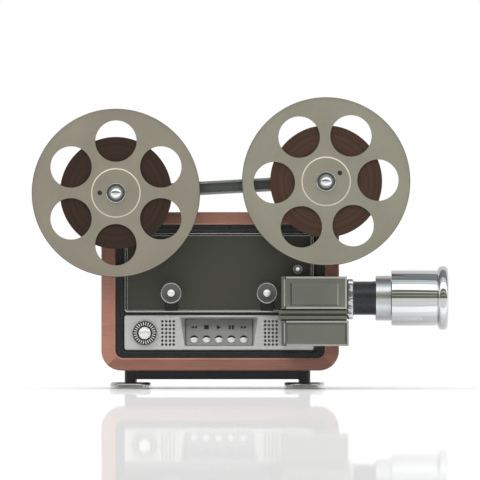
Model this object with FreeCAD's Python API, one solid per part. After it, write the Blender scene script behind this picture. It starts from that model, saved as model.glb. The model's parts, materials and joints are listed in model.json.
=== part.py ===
"""Reel-to-reel 8 mm film projector in a wooden case, one STEP file per sub-part.

Millimetres. +X points along the lens, +Y to the back of the case, +Z up.
The origin lies on the floor, at the centre of the outer box.
"""
import FreeCAD, Part
import math
import os

V = FreeCAD.Vector

# ---------------------------------------------------------------- driving dimensions
GAP = 0.3                    # between bodies that move past each other
FIT = 0.05                   # radial clearance of a running fit

# wooden case
CASE_X = (-147.0, 105.0)
CASE_Z = (19.6, 187.6)
CASE_Y = (-38.0, 92.0)
CASE_SIDE = 15.0
CASE_TOP = 13.2
CASE_OUTER_R = 21.2
CASE_INNER_R = 8.2
CASE_BEVEL = 1.2

# front of the case
BEZEL_FRONT = -36.5
BEZEL_BACK = -28.0
WINDOW_X = (-122.5, 78.3)
WINDOW_Z = (41.4, 165.6)
PANEL_FRONT = -31.0
PANEL_T = 2.0
TRIM_FRONT = -33.5
TRIM_W = 1.2
TRIM_Z0 = 81.2
STRIP_TOP = 83.3
FASCIA_FRONT = -37.0
FASCIA_T = 3.0
FASCIA_TOP = 78.3

# button pocket, a wedge that is deeper at the top
POCKET_TILT = 25.0
POCKET_X = (-58.2, 14.1)
POCKET_Z = (45.9, 74.5)
POCKET_FRONT_Y = -36.0       # where the sloping plate meets the lower edge
PLATE_T = 1.5
BUTTON_NAMES = ("rewind", "stop", "play", "pause", "forward")
BUTTON_X0 = -48.8
BUTTON_PITCH = 13.2
BUTTON_UP = 7.5              # along the sloping plate
BUTTON_R = 4.3
BUTTON_SKIRT = (-3.2, 1.6)   # up the plate's normal, from the skirt's edge to the dome's rim
BUTTON_RISE = 2.0
PLUNGER_R = 1.6
PLUNGER_L = 2.8
BOARD_TOP = -12.0            # the circuit board's top, below the plate's surface
BOARD_T = 1.6
SWITCH_W = 6.0
SWITCH_H = 3.6

# speed dial and vents
DIAL_C = (-101.0, 59.4)
DIAL_R = 13.5
DIAL_CAP_R = 6.45
DIAL_FLUTES = 36
DIAL_FLUTE_R = 0.55
DIAL_DEPTH = 5.0
VENT_R = 1.35
VENT_PITCH = (4.05, 4.1)
VENT_ROWS = 7
VENT_COLUMNS = 4
VENT_X0 = (-82.3, 26.7)
VENT_Z0 = 47.2

# optical axis: it lies in the film plane, in front of the case
LENS_Y = -61.2
LENS_Z = 96.5
BEAM_X = 56.0                # where the lamp's beam comes forward
BEAM_R = 5.0

# reels
REEL_R = 89.0
REEL_HOLE_R = 21.9
REEL_HOLE_PITCH = 54.8
REEL_HOLES = 6
REEL_DRIVE_HOLE_R = 2.5
REEL_DRIVE_PITCH = 17.0
REEL_RAISED_R = 25.3
REEL_CORE_R = 25.0
FLANGE_T = 1.2
FLANGE_GAP = 9.6
RIM_T = 2.2
RIM_W = 1.8
FILM_R = 59.2
FILM_W = 8.0
SPINDLE_R = 6.3
JOURNAL_R = 4.0
TAKEUP_C = (-131.2, 207.8)
SUPPLY_C = (91.1, 220.0)
TAKEUP_TURN = 150.0
SUPPLY_TURN = 1.4

# arm that carries the reels
ARM_FRONT = -53.0
ARM_BACK = -41.0
ARM_H = 14.3
ARM_LIP = 2.4
TOWER_BACK = -12.0
TOWER_R = 15.0
TOWER_WALL = 2.5

# guide rollers
# x, z, radius and the radius of the pin's head
ROLLERS = {"guide_roller_left": (-72.8, 101.9, 11.0, 3.9),
           "guide_roller_right": (28.6, 101.9, 11.0, 3.9),
           "small_roller": (61.0, 127.0, 5.0, 2.2)}
BRACKET_W = 13.4
BRACKET_T = 4.0

# gate and lower housings, which stand in front of the case
BOX_FRONT = -82.5
BOX_WALL = 2.0
DOOR_T = 3.2
GATE_X = (43.6, 112.9)
GATE_Z = (85.3, 119.4)
LOWER_X = (43.9, 114.8)
LOWER_Z = (46.1, 72.7)
HINGE_PIN_R = 0.9
HINGE_LUG = 2.2
LUG_LENGTH = 4.0
LUG_SWEEP = 2.8              # from the hinge pin to the lug's far corner
RAIL_X = (41.0, 112.9)
RAIL_Z = ((80.1, 84.0), (74.0, 78.0))
RAIL_FRONT = -84.0
RAIL_WEB_Y = (-78.0, -76.0)

# lens
PLATE_X = (113.2, 119.8)
PLATE_Z = (74.0, 116.9)
PLATE_Y = (-81.0, -41.5)
SPACER_R = 15.0
TUBE_R = 18.2
TUBE_END = 184.0
TUBE_STEP_R = 17.0
TUBE_BORE_R = 10.5
TUBE_SPIGOT_R = 12.0
RIB_PITCH = 1.6
RING_X = (143.4, 159.6)
RING_R = 23.95
BARREL_X = (160.0, 208.0)
BARREL_R = 29.4
FRONT_X = 220.2
FRONT_R = 33.8

# mechanism inside the case
MOTOR_C = (-54.0, 100.0)
SHAFT_C = (70.0, LENS_Z)
CHASSIS_X = (-100.0, 81.5)
CHASSIS_TOP = 150.0
CHASSIS_Y = (-6.0, -3.0)
CHASSIS_T = 3.0
BELT_R = 1.0
DRIVE_BELT_Y = -10.0
TAKEUP_BELT_Y = -18.0
BELT_SLOT_X = (-129.5, -94.0)
MOTOR_PULLEY_R = 5.0
SHAFT_PULLEY_R = 8.0
TAKEUP_PULLEY_R = 8.0
CLAW_STROKE = 4.23           # one frame of Super 8 film
SHUTTER_R = 18.5

# underside
LEG_X = (-116.4, 68.6)
LEG_Y = (-14.0, 68.0)
LEG_R = 6.2
FOOT_R = 21.6
FOOT_H = 6.0
FOOT_EDGE_R = 1.6
BAR_Z = (10.1, 19.6)

# rear cover
COVER_X = (-142.0, 100.0)
COVER_Z = (24.6, 182.6)
COVER_T = 2.0
COVER_CORNER_R = 12.0
COVER_SLOTS = 9
COVER_SLOT_W = 3.0
COVER_SLOT_PITCH = 6.0
COVER_SLOT_Z = (80.0, 122.0)
SCREW_R = 1.7
SCREW_HEAD_R = 3.0
SCREW_INSET = (12.0, 4.2)    # from the cover's corners, across and up
SCREW_REACH = 9.0
INLET_C = (-92.0, 58.0)
INLET_W = 24.0
INLET_H = 16.0
INLET_LIP = 2.0
INLET_PIN_R = 1.2
INLET_PIN_PITCH = 8.6


# ---------------------------------------------------------------- helpers
def box(x, y, z):
    """A block from three (low, high) pairs."""
    return Part.makeBox(x[1] - x[0], y[1] - y[0], z[1] - z[0], V(x[0], y[0], z[0]))


def rod_y(centre, radius, y):
    """A round bar along Y, centred on (x, z)."""
    return Part.makeCylinder(radius, y[1] - y[0], V(centre[0], y[0], centre[1]), V(0, 1, 0))


def rod_x(y, z, radius, x):
    """A round bar along X."""
    return Part.makeCylinder(radius, x[1] - x[0], V(x[0], y, z), V(1, 0, 0))


def rod_z(x, y, radius, z):
    """A round bar along Z."""
    return Part.makeCylinder(radius, z[1] - z[0], V(x, y, z[0]), V(0, 0, 1))


def outline(steps, place):
    """A closed face. A step is a point (a, b), or (a, b, c, d): an arc through (a, b) to (c, d)."""
    edges = []
    here = place(*steps[0])
    for step in list(steps[1:]) + [steps[0]]:
        end = place(*step[-2:])
        if len(step) == 4:
            edges.append(Part.Arc(here, place(*step[:2]), end).toShape())
        else:
            edges.append(Part.LineSegment(here, end).toShape())
        here = end
    return Part.Face(Part.Wire(edges))


def dome(base, radius, height):
    """A point half-way up the arc of a spherical cap, as (along, radius)."""
    ball = (radius ** 2 + height ** 2) / (2 * height)
    return base + height - ball + math.copysign(math.sqrt(ball ** 2 - radius ** 2 / 4), ball), radius / 2


def turned_y(steps, centre):
    """A solid of revolution about Y. Steps are (y, radius)."""
    face = outline(steps, lambda y, r: V(centre[0] + r, y, centre[1]))
    return face.revolve(V(centre[0], 0, centre[1]), V(0, 1, 0), 360)


def turned_x(steps, y, z):
    """A solid of revolution about X. Steps are (x, radius)."""
    face = outline(steps, lambda x, r: V(x, y, z + r))
    return face.revolve(V(0, y, z), V(1, 0, 0), 360)


def turned_z(steps, x, y):
    """A solid of revolution about Z. Steps are (z, radius)."""
    face = outline(steps, lambda z, r: V(x + r, y, z))
    return face.revolve(V(x, y, 0), V(0, 0, 1), 360)


def slab(points, y):
    """A flat plate with straight sides. Points are (x, z)."""
    face = outline(points, lambda px, pz: V(px, y[0], pz))
    return face.extrude(V(0, y[1] - y[0], 0))


def round_box(x, y, z, radius):
    """A block whose four edges along Y are rounded."""
    block = box(x, y, z)
    edges = [e for e in block.Edges if abs(e.Vertexes[0].Y - e.Vertexes[-1].Y) > 1e-6]
    return block.makeFillet(radius, edges)


def front_edges(shape, y):
    """The edges that lie wholly in one plane of constant Y."""
    return [e for e in shape.Edges if abs(e.BoundBox.YMin - y) < 1e-4 and abs(e.BoundBox.YMax - y) < 1e-4]


def polar(centre, radius, degrees):
    """A point (x, z) on a circle."""
    angle = math.radians(degrees)
    return centre[0] + radius * math.cos(angle), centre[1] + radius * math.sin(angle)


def fuse(*shapes):
    """One solid out of several that touch or overlap."""
    whole = shapes[0]
    for shape in shapes[1:]:
        whole = whole.fuse(shape)
    return whole.removeSplitter()


def cut(body, *tools):
    """A solid with others taken away."""
    for tool in tools:
        body = body.cut(tool)
    return body


def group(*shapes):
    """Separate solids that share one node."""
    return Part.makeCompound([solid for shape in shapes for solid in shape.Solids])


def belt_loop(first, first_r, second, second_r, y, section):
    """A closed round belt about two pulleys, from its path of two tangents and two arcs."""
    dx = second[0] - first[0]
    dz = second[1] - first[1]
    lean = math.degrees(math.acos((first_r - second_r) / math.hypot(dx, dz)))
    heading = math.degrees(math.atan2(dz, dx))
    up = heading + lean
    down = heading - lean
    place = lambda point: V(point[0], y, point[1])
    a, b = place(polar(first, first_r, up)), place(polar(second, second_r, up))
    c, d = place(polar(second, second_r, down)), place(polar(first, first_r, down))
    path = Part.Wire([Part.LineSegment(a, b).toShape(),
                      Part.Arc(b, place(polar(second, second_r, heading)), c).toShape(),
                      Part.LineSegment(c, d).toShape(),
                      Part.Arc(d, place(polar(first, first_r, heading + 180)), a).toShape()])
    ring = Part.Wire(Part.makeCircle(section, a, b - a))
    return path.makePipeShell([ring], True, False)


# ---------------------------------------------------------------- case
def case_inner(grow=0.0):
    """Inner opening of the case as (x, z) ranges, grown on every side."""
    x = (CASE_X[0] + CASE_SIDE - grow, CASE_X[1] - CASE_SIDE + grow)
    z = (CASE_Z[0] + CASE_TOP - grow, CASE_Z[1] - CASE_TOP + grow)
    return x, z


def belt_slot():
    """The slot in the top board that the take-up belt passes through."""
    y = (TAKEUP_BELT_Y - 4, TAKEUP_BELT_Y + 4)
    return box(BELT_SLOT_X, y, (CASE_Z[1] - CASE_TOP - 1, CASE_Z[1] + 1))


def screw_places():
    """Centres of the rear cover's screws, as (x, z)."""
    across, up = SCREW_INSET
    xs = (COVER_X[0] + across, (COVER_X[0] + COVER_X[1]) / 2, COVER_X[1] - across)
    return [(x, z) for x in xs for z in (COVER_Z[0] + up, COVER_Z[1] - up)]


def case_boards():
    """Four mitred boards with rounded outer corners."""
    inner_x, inner_z = case_inner()
    ring = round_box(CASE_X, CASE_Y, CASE_Z, CASE_OUTER_R)
    ring = ring.cut(round_box(inner_x, CASE_Y, inner_z, CASE_INNER_R))
    ring = ring.makeChamfer(CASE_BEVEL, front_edges(ring, CASE_Y[0]))
    screws = [rod_y(c, SCREW_R, (CASE_Y[1] - 12, CASE_Y[1])) for c in screw_places()]
    ring = cut(ring, belt_slot(), *screws)
    # each mitre line runs on past the inner corner, so that a board keeps its half of the round corner
    past = 1.7
    outer = []
    inner = []
    for i, j in ((0, 0), (1, 0), (1, 1), (0, 1)):
        x, z = CASE_X[i], CASE_Z[j]
        outer.append((x, z))
        inner.append((x + past * (inner_x[i] - x), z + past * (inner_z[j] - z)))
    boards = {}
    for i, side in enumerate(("bottom", "right", "top", "left")):
        j = (i + 1) % 4
        wedge = slab([outer[i], outer[j], inner[j], inner[i]], CASE_Y)
        boards["case_" + side] = ring.common(wedge)
    return boards


def bezel_level(share):
    """A rounded rectangle between the case's opening (0) and the window (1)."""
    outer_x, outer_z = case_inner()
    mix = lambda a, b: a + (b - a) * share
    x = (mix(outer_x[0], WINDOW_X[0]), mix(outer_x[1], WINDOW_X[1]))
    z = (mix(outer_z[0], WINDOW_Z[0]), mix(outer_z[1], WINDOW_Z[1]))
    return x, z, mix(CASE_INNER_R, 3.0)


def front_bezel():
    """Black frame with two grooves and a bar across it above the fascia."""
    x, z, radius = bezel_level(0.0)
    frame = round_box(x, (BEZEL_FRONT, BEZEL_BACK), z, radius)
    steps = ((0.28, 0.38, -34.9), (0.66, 1.0, -34.2), (0.78, 1.0, -32.6))
    for start, end, floor in steps:
        x, z, radius = bezel_level(start)
        groove = round_box(x, (BEZEL_FRONT - 1, floor), z, radius)
        if end < 1.0:
            x, z, radius = bezel_level(end)
            groove = groove.cut(round_box(x, (BEZEL_FRONT - 1, floor), z, radius))
        frame = frame.cut(groove)
    x, z, radius = bezel_level(1.0)
    frame = frame.cut(round_box(x, (BEZEL_FRONT - 1, BEZEL_BACK), z, radius))
    bar = box((WINDOW_X[0] - 1, WINDOW_X[1] + 1), (-33.0, BEZEL_BACK), (FASCIA_TOP, TRIM_Z0))
    return fuse(frame, bar)


def panel_trim():
    """Bright rim about the main panel, with a wider strip below."""
    y = (TRIM_FRONT, PANEL_FRONT + PANEL_T)
    rim = round_box(WINDOW_X, y, (TRIM_Z0, WINDOW_Z[1]), 3.0)
    inner_x = (WINDOW_X[0] + TRIM_W, WINDOW_X[1] - TRIM_W)
    rim = rim.cut(round_box(inner_x, y, (STRIP_TOP, WINDOW_Z[1] - TRIM_W), 2.2))
    return rim.makeChamfer(0.35, front_edges(rim, TRIM_FRONT))


def main_panel():
    """Dark sheet behind the film path, with holes for the beam, the shaft and a roller pin."""
    inner_x = (WINDOW_X[0] + TRIM_W, WINDOW_X[1] - TRIM_W)
    y = (PANEL_FRONT, PANEL_FRONT + PANEL_T)
    panel = round_box(inner_x, y, (STRIP_TOP, WINDOW_Z[1] - TRIM_W), 2.2)
    through = (y[0] - 1, y[1] + 1)
    pin = ROLLERS["small_roller"]
    return cut(panel, rod_y((BEAM_X, LENS_Z), BEAM_R + 2, through), rod_y(SHAFT_C, 4.0, through),
               rod_y(pin[:2], pin[3], through))


# ---------------------------------------------------------------- controls
def on_slope(shape):
    """Move a shape made flat (x, up the slope, outwards) onto the pocket's sloping floor."""
    turned = shape.copy()
    turned.Placement = FreeCAD.Placement(V(0, POCKET_FRONT_Y, POCKET_Z[0]),
                                         FreeCAD.Rotation(V(1, 0, 0), 90 - POCKET_TILT))
    return turned


def slope_length():
    """Length of the sloping plate, measured along it."""
    return (POCKET_Z[1] - POCKET_Z[0]) / math.cos(math.radians(POCKET_TILT))


def button_places():
    """Name and x of each button."""
    return [(name, BUTTON_X0 + i * BUTTON_PITCH) for i, name in enumerate(BUTTON_NAMES)]


def button_bores(radius, depth):
    """Cylinders through the sloping floor at every button."""
    return [on_slope(Part.makeCylinder(radius, depth + 2, V(x, BUTTON_UP, -depth)))
            for _, x in button_places()]


def pocket_hollow():
    """The drafted wedge that is cut out of the fascia."""
    deep = (POCKET_Z[1] - POCKET_Z[0]) * math.tan(math.radians(POCKET_TILT))
    left, right = POCKET_X
    low, high = POCKET_Z
    back = [V(left, POCKET_FRONT_Y, low), V(right, POCKET_FRONT_Y, low),
            V(right, POCKET_FRONT_Y + deep, high), V(left, POCKET_FRONT_Y + deep, high)]
    front_y = FASCIA_FRONT - 0.5
    front = [V(left - 0.6, front_y, low - 0.6), V(right + 0.6, front_y, low - 0.6),
             V(right + 5.5, front_y, high + 1.8), V(left - 5.5, front_y, high + 1.8)]
    wires = [Part.makePolygon(points + points[:1]) for points in (back, front)]
    return Part.makeLoft(wires, True, True)


def plate_blank(shrink):
    """The flat blank of the sloping button plate."""
    x = (POCKET_X[0] + shrink, POCKET_X[1] - shrink)
    return on_slope(box(x, (shrink, slope_length() - shrink), (-PLATE_T, 0.0)))


def control_fascia():
    """Silver control plate with the button pocket, two vent grilles and the dial's bore."""
    face = round_box(WINDOW_X, (FASCIA_FRONT, FASCIA_FRONT + FASCIA_T), (WINDOW_Z[0], FASCIA_TOP), 2.5)
    face = face.makeChamfer(1.0, front_edges(face, FASCIA_FRONT))
    wall = 2.0
    x = (POCKET_X[0] - 6.5, POCKET_X[1] + 4.5)
    lean = (POCKET_Z[1] - POCKET_Z[0]) * math.tan(math.radians(POCKET_TILT))
    deep = POCKET_FRONT_Y + lean + PLATE_T + wall
    face_back = FASCIA_FRONT + 1
    side = [(face_back, POCKET_Z[0] - 2.5), (POCKET_FRONT_Y + PLATE_T + wall + 2, POCKET_Z[0] - 2.5),
            (deep + 1.5, POCKET_Z[1] + 1.5), (deep + 1.5, POCKET_Z[1] + 3.0), (face_back, POCKET_Z[1] + 3.0)]
    tray = outline(side, lambda y, z: V(x[0], y, z)).extrude(V(x[1] - x[0], 0, 0))
    posts = [on_slope(Part.makeCylinder(2.0, 8.5, V(px, 17.0, BOARD_TOP)))
             for px in (POCKET_X[0] + 5, POCKET_X[1] - 5)]
    face = fuse(face, tray, *posts)
    vents = [rod_y((x0 + i * VENT_PITCH[0], VENT_Z0 + j * VENT_PITCH[1]), VENT_R, (-40, -30))
             for x0 in VENT_X0 for i in range(VENT_COLUMNS) for j in range(VENT_ROWS)]
    face = cut(face, pocket_hollow(), plate_blank(0.0), *button_bores(BUTTON_R + 0.5, 20))
    return cut(face, rod_y(DIAL_C, 3.0 + FIT, (-40, -30)), *vents)


def button_plate():
    """Sloping grey plate that the buttons pass through."""
    return cut(plate_blank(0.1), *button_bores(BUTTON_R + FIT, 6))


def button(x):
    """Round chrome key with a domed face and a plunger."""
    low, rim = BUTTON_SKIRT
    crown = (*dome(rim, BUTTON_R, BUTTON_RISE), rim + BUTTON_RISE, 0)
    steps = [(low, 0), (low, BUTTON_R), (rim, BUTTON_R), crown]
    cap = outline(steps, lambda up, r: V(x + r, BUTTON_UP, up)).revolve(V(x, BUTTON_UP, 0), V(0, 0, 1), 360)
    plunger = Part.makeCylinder(PLUNGER_R, PLUNGER_L + 0.2, V(x, BUTTON_UP, low - PLUNGER_L))
    return on_slope(cap.fuse(plunger))


def circuit_board():
    """Board behind the pocket with one switch under each button."""
    board = box((POCKET_X[0] + 2, POCKET_X[1] - 2), (1.0, 20.0), (BOARD_TOP - BOARD_T, BOARD_TOP))
    half = SWITCH_W / 2
    up = (BUTTON_UP - half, BUTTON_UP + half)
    switches = [box((x - half, x + half), up, (BOARD_TOP, BOARD_TOP + SWITCH_H)) for _, x in button_places()]
    return on_slope(fuse(board, *switches))


def speed_dial():
    """Knob with a fluted rim on a short shaft."""
    front = FASCIA_FRONT - DIAL_DEPTH
    back = FASCIA_FRONT - GAP
    steps = [(-32.0, 0), (-32.0, 3.0), (back, 3.0), (back, DIAL_R - 0.4), (back - 1.2, DIAL_R - 0.4),
             (back - 1.2, DIAL_R - 1.0), (front + 0.8, DIAL_R - 1.4), (front, DIAL_R - 2.4),
             (front, DIAL_CAP_R + 1.2), (front + 0.8, DIAL_CAP_R), (front + 0.8, 0)]
    knob = turned_y(steps, DIAL_C)
    notch = rod_y(polar(DIAL_C, DIAL_R - 0.9, 0), DIAL_FLUTE_R, (front - 1, back - 1.4))
    tools = []
    for i in range(DIAL_FLUTES):
        tool = notch.copy()
        tool.rotate(V(DIAL_C[0], 0, DIAL_C[1]), V(0, 1, 0), 360.0 * i / DIAL_FLUTES)
        tools.append(tool)
    return cut(knob, Part.makeCompound(tools))


def dial_cap():
    """Domed chrome cap in the middle of the dial."""
    back = FASCIA_FRONT - DIAL_DEPTH + 0.8
    rim = back - 1.0
    rise = 2.2
    crown = (*dome(rim, DIAL_CAP_R, -rise), rim - rise, 0)
    steps = [(back, 0), (back, DIAL_CAP_R), (rim, DIAL_CAP_R), crown]
    return turned_y(steps, DIAL_C)


# ---------------------------------------------------------------- reels and arm
def flange(centre, turn, inner_y, outwards):
    """One pressed reel side with a beaded rim, a raised middle and its holes."""
    out = lambda d: inner_y + outwards * d
    steps = [(out(0), SPINDLE_R + FIT), (out(0), REEL_R - RIM_W), (out(-0.3), REEL_R - RIM_W + 0.4),
             (out(-0.3), REEL_R - 0.6), (out(0.2), REEL_R), (out(RIM_T - 0.9), REEL_R),
             (out(RIM_T - 0.4), REEL_R - 0.5), (out(RIM_T - 0.4), REEL_R - RIM_W),
             (out(FLANGE_T), REEL_R - RIM_W - 0.8),
             (out(FLANGE_T), REEL_RAISED_R + 0.8), (out(FLANGE_T + 0.9), REEL_RAISED_R - 0.4),
             (out(FLANGE_T + 0.9), SPINDLE_R + FIT)]
    disc = turned_y(steps, centre)
    through = (min(out(-2), out(4)), max(out(-2), out(4)))
    holes = [rod_y(polar(centre, REEL_HOLE_PITCH, turn + i * 360.0 / REEL_HOLES), REEL_HOLE_R, through)
             for i in range(REEL_HOLES)]
    drive = rod_y(polar(centre, REEL_DRIVE_PITCH, turn + 180.0 / REEL_HOLES), REEL_DRIVE_HOLE_R, through)
    return cut(disc, drive, *holes)


def reel(name, centre, turn, has_pulley):
    """The four sub-parts of one reel: two flanges, core, film roll and spindle."""
    half = FLANGE_GAP / 2
    front = flange(centre, turn, LENS_Y - half, -1)
    rear = flange(centre, turn, LENS_Y + half, 1)
    core = turned_y([(LENS_Y - half, SPINDLE_R + FIT), (LENS_Y - half, REEL_CORE_R),
                     (LENS_Y + half, REEL_CORE_R), (LENS_Y + half, SPINDLE_R + FIT)], centre)
    film = turned_y([(LENS_Y - FILM_W / 2, REEL_CORE_R), (LENS_Y - FILM_W / 2, FILM_R),
                     (LENS_Y + FILM_W / 2, FILM_R), (LENS_Y + FILM_W / 2, REEL_CORE_R)], centre)
    nose = LENS_Y - half - FLANGE_T - 0.9
    seat = LENS_Y + half + FLANGE_T + 0.9
    tail = TOWER_BACK
    steps = [(nose - 8.0, 0), (*dome(nose - 3.4, 7.1, -4.6), nose - 3.4, 7.1), (nose - 2.2, 7.1),
             (nose - 2.2, 8.9), (nose - 1.4, 10.4), (nose, 10.4), (nose, SPINDLE_R), (seat, SPINDLE_R),
             (seat, 8.5), (ARM_FRONT - 0.1, 8.5), (ARM_FRONT - 0.1, JOURNAL_R)]
    if has_pulley:
        edge = TAKEUP_PULLEY_R + 2.2
        steps += [(TAKEUP_BELT_Y - 2.5, JOURNAL_R), (TAKEUP_BELT_Y - 2.5, edge),
                  (TAKEUP_BELT_Y - 1.6, edge), (TAKEUP_BELT_Y - 1.6, TAKEUP_PULLEY_R - GAP),
                  (TAKEUP_BELT_Y + 1.6, TAKEUP_PULLEY_R - GAP), (TAKEUP_BELT_Y + 1.6, edge),
                  (TAKEUP_BELT_Y + 2.5, edge), (TAKEUP_BELT_Y + 2.5, JOURNAL_R)]
    steps += [(tail, JOURNAL_R), (tail, 0)]
    return {name + "_flanges": group(front, rear), name + "_core": core, name + "_film": film,
            name + "_spindle": turned_y(steps, centre)}


def along_arm(shape):
    """Turn a shape made along +X from the take-up spindle so that it points at the supply spindle."""
    turned = shape.copy()
    lean = math.degrees(math.atan2(SUPPLY_C[1] - TAKEUP_C[1], SUPPLY_C[0] - TAKEUP_C[0]))
    turned.rotate(V(TAKEUP_C[0], 0, TAKEUP_C[1]), V(0, -1, 0), lean)
    return turned


def arm_bar(height, y, overhang):
    """A bar with round ends that reaches past both spindles."""
    length = math.hypot(SUPPLY_C[0] - TAKEUP_C[0], SUPPLY_C[1] - TAKEUP_C[1])
    x = (TAKEUP_C[0] - overhang, TAKEUP_C[0] + length + overhang)
    z = (TAKEUP_C[1] - height / 2, TAKEUP_C[1] + height / 2)
    return along_arm(round_box(x, y, z, height / 2 - 0.01))


def arm_channel():
    """Open channel with polished lips; the spindles run in its web."""
    channel = arm_bar(ARM_H, (ARM_FRONT, ARM_BACK), 12.0)
    channel = channel.cut(arm_bar(ARM_H - 2 * ARM_LIP, (ARM_FRONT, ARM_BACK - ARM_LIP), 12.0 - ARM_LIP))
    bores = [rod_y(c, JOURNAL_R + FIT, (ARM_FRONT, ARM_BACK)) for c in (TAKEUP_C, SUPPLY_C)]
    return cut(channel, *bores)


def arm_strip():
    """Dark strip that closes the channel."""
    strip = arm_bar(ARM_H - 2 * ARM_LIP, (ARM_FRONT + 2.5, ARM_FRONT + 4.0), 12.0 - ARM_LIP)
    bores = [rod_y(c, JOURNAL_R + 0.5, (ARM_FRONT, ARM_BACK)) for c in (TAKEUP_C, SUPPLY_C)]
    return cut(strip, *bores)


def tower(centre, base_x, tangents):
    """Hollow pedestal between the case's top and one spindle, open below."""
    top = CASE_Z[1]
    y = (ARM_BACK, TOWER_BACK)
    points = [(base_x[0], top), (base_x[1], top), polar(centre, TOWER_R, tangents[1]),
              polar(centre, TOWER_R, tangents[0])]
    inner_r = TOWER_R - TOWER_WALL
    hollow = [(base_x[0] + TOWER_WALL, top - 1), (base_x[1] - TOWER_WALL, top - 1),
              polar(centre, inner_r, tangents[1]), polar(centre, inner_r, tangents[0])]
    inside = (y[0] + TOWER_WALL, y[1] - TOWER_WALL)
    outer = fuse(slab(points, y), rod_y(centre, TOWER_R, y))
    inner = fuse(slab(hollow, inside), rod_y(centre, inner_r, inside))
    return cut(outer, inner, rod_y(centre, JOURNAL_R + FIT, y))


def arm_towers():
    """The two pedestals: the take-up one also covers the belt."""
    left = tower(TAKEUP_C, (-130.0, -95.0), (205.0, 40.0))
    right = tower(SUPPLY_C, (58.0, 84.0), (150.0, 320.0))
    return group(left, right)


# ---------------------------------------------------------------- rollers, gate and lens
def film_roller(centre, radius, bore):
    """Flanged film roller."""
    waist = radius - 1.6 if radius > 6 else radius - 1.2
    half = 6.3
    steps = [(LENS_Y - half, bore), (LENS_Y - half, radius - 0.7), (LENS_Y - half + 0.7, radius),
             (LENS_Y - half + 1.6, radius), (LENS_Y - half + 2.0, waist), (LENS_Y + half - 2.0, waist),
             (LENS_Y + half - 1.6, radius), (LENS_Y + half - 0.7, radius), (LENS_Y + half, radius - 0.7),
             (LENS_Y + half, bore)]
    return turned_y(steps, centre)


def roller_pin(centre, head_r, foot_y):
    """Polished pin with a domed head that holds a roller."""
    pin_r = head_r * 0.62
    head = LENS_Y - 6.3 - GAP
    collar = LENS_Y + 6.3 + GAP
    rim = head - 1.0
    steps = [(rim - 2.0, 0), (*dome(rim, head_r, -2.0), rim, head_r), (head, head_r), (head, pin_r),
             (collar, pin_r), (collar, head_r), (foot_y, head_r), (foot_y, 0)]
    return turned_y(steps, centre)


def film_rollers():
    """Three rollers, with their pins as one group and two bracket plates as another."""
    parts = {}
    pins = []
    for name, (x, z, radius, head_r) in ROLLERS.items():
        parts[name] = film_roller((x, z), radius, head_r * 0.62 + FIT)
        foot_y = PANEL_FRONT + PANEL_T if name == "small_roller" else PANEL_FRONT - BRACKET_T
        pins.append(roller_pin((x, z), head_r, foot_y))
    y = (PANEL_FRONT - BRACKET_T, PANEL_FRONT)
    plates = []
    for name in ("guide_roller_left", "guide_roller_right"):
        x, z = ROLLERS[name][:2]
        plate = box((x - BRACKET_W / 2, x + BRACKET_W / 2), y, (STRIP_TOP, z))
        plates.append(fuse(plate, rod_y((x, z), BRACKET_W / 2, y)))
    parts["roller_pins"] = group(*pins)
    parts["roller_brackets"] = group(*plates)
    return parts


def hinge_axis(x):
    """Centre of a door's hinge pin, as (x, y), from the housing's left side."""
    return x[0] + 2.0, BOX_FRONT - GAP - DOOR_T / 2


def housing(x, z, wall_holes):
    """Open-fronted shell with two hinge lugs and a hinge pin at its left side."""
    shell = box(x, (BOX_FRONT, CASE_Y[0]), z)
    hollow = box((x[0] + BOX_WALL, x[1] - BOX_WALL), (BOX_FRONT - 1, CASE_Y[0] - BOX_WALL),
                 (z[0] + BOX_WALL, z[1] - BOX_WALL))
    shell = cut(shell, hollow, *wall_holes)
    pin_x, pin_y = hinge_axis(x)
    reach = (BOX_FRONT - GAP - DOOR_T, BOX_FRONT)
    lug_x = (x[0], x[0] + LUG_LENGTH)
    low = box(lug_x, reach, (z[0], z[0] + HINGE_LUG))
    high = box(lug_x, reach, (z[1] - HINGE_LUG, z[1]))
    pin = rod_z(pin_x, pin_y, HINGE_PIN_R, (z[0] + 0.5, z[1] - 0.5))
    return fuse(shell, low, high, pin)


def door(x, z, raised, frame_w, frame_drop):
    """Door leaf with a knuckle at its left edge, a bevelled frame and a middle panel."""
    pin_x, pin_y = hinge_axis(x)
    y = (BOX_FRONT - GAP - DOOR_T, BOX_FRONT - GAP)
    leaf = box((pin_x, x[1]), y, z)
    leaf = leaf.makeChamfer(0.8, [e for e in front_edges(leaf, y[0]) if e.BoundBox.XMax > pin_x + 1])
    leaf = leaf.cut(box((pin_x + frame_w, x[1] - frame_w), (y[0] - 1, y[0] + frame_drop),
                        (z[0] + frame_w, z[1] - frame_w)))
    if raised:
        rx, rz = raised
        back = [V(rx[i], y[0] + frame_drop, rz[j]) for i, j in ((0, 0), (1, 0), (1, 1), (0, 1))]
        tip = 1.0
        front = [V(rx[i] + tip * (1 - 2 * i), y[0] + 0.2, rz[j] + tip * (1 - 2 * j))
                 for i, j in ((0, 0), (1, 0), (1, 1), (0, 1))]
        wires = [Part.makePolygon(points + points[:1]) for points in (back, front)]
        leaf = leaf.fuse(Part.makeLoft(wires, True, True))
    lug = HINGE_LUG + GAP
    knuckle = rod_z(pin_x, pin_y, DOOR_T / 2, z)
    leaf = leaf.fuse(knuckle)
    notch_x = (x[0] - 1, pin_x + LUG_SWEEP + GAP)
    notches = [box(notch_x, (y[0] - 1, y[1] + 1), (z[0] - 1, z[0] + lug)),
               box(notch_x, (y[0] - 1, y[1] + 1), (z[1] - lug, z[1] + 1))]
    return cut(leaf, rod_z(pin_x, pin_y, HINGE_PIN_R + FIT, z), *notches)


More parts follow.
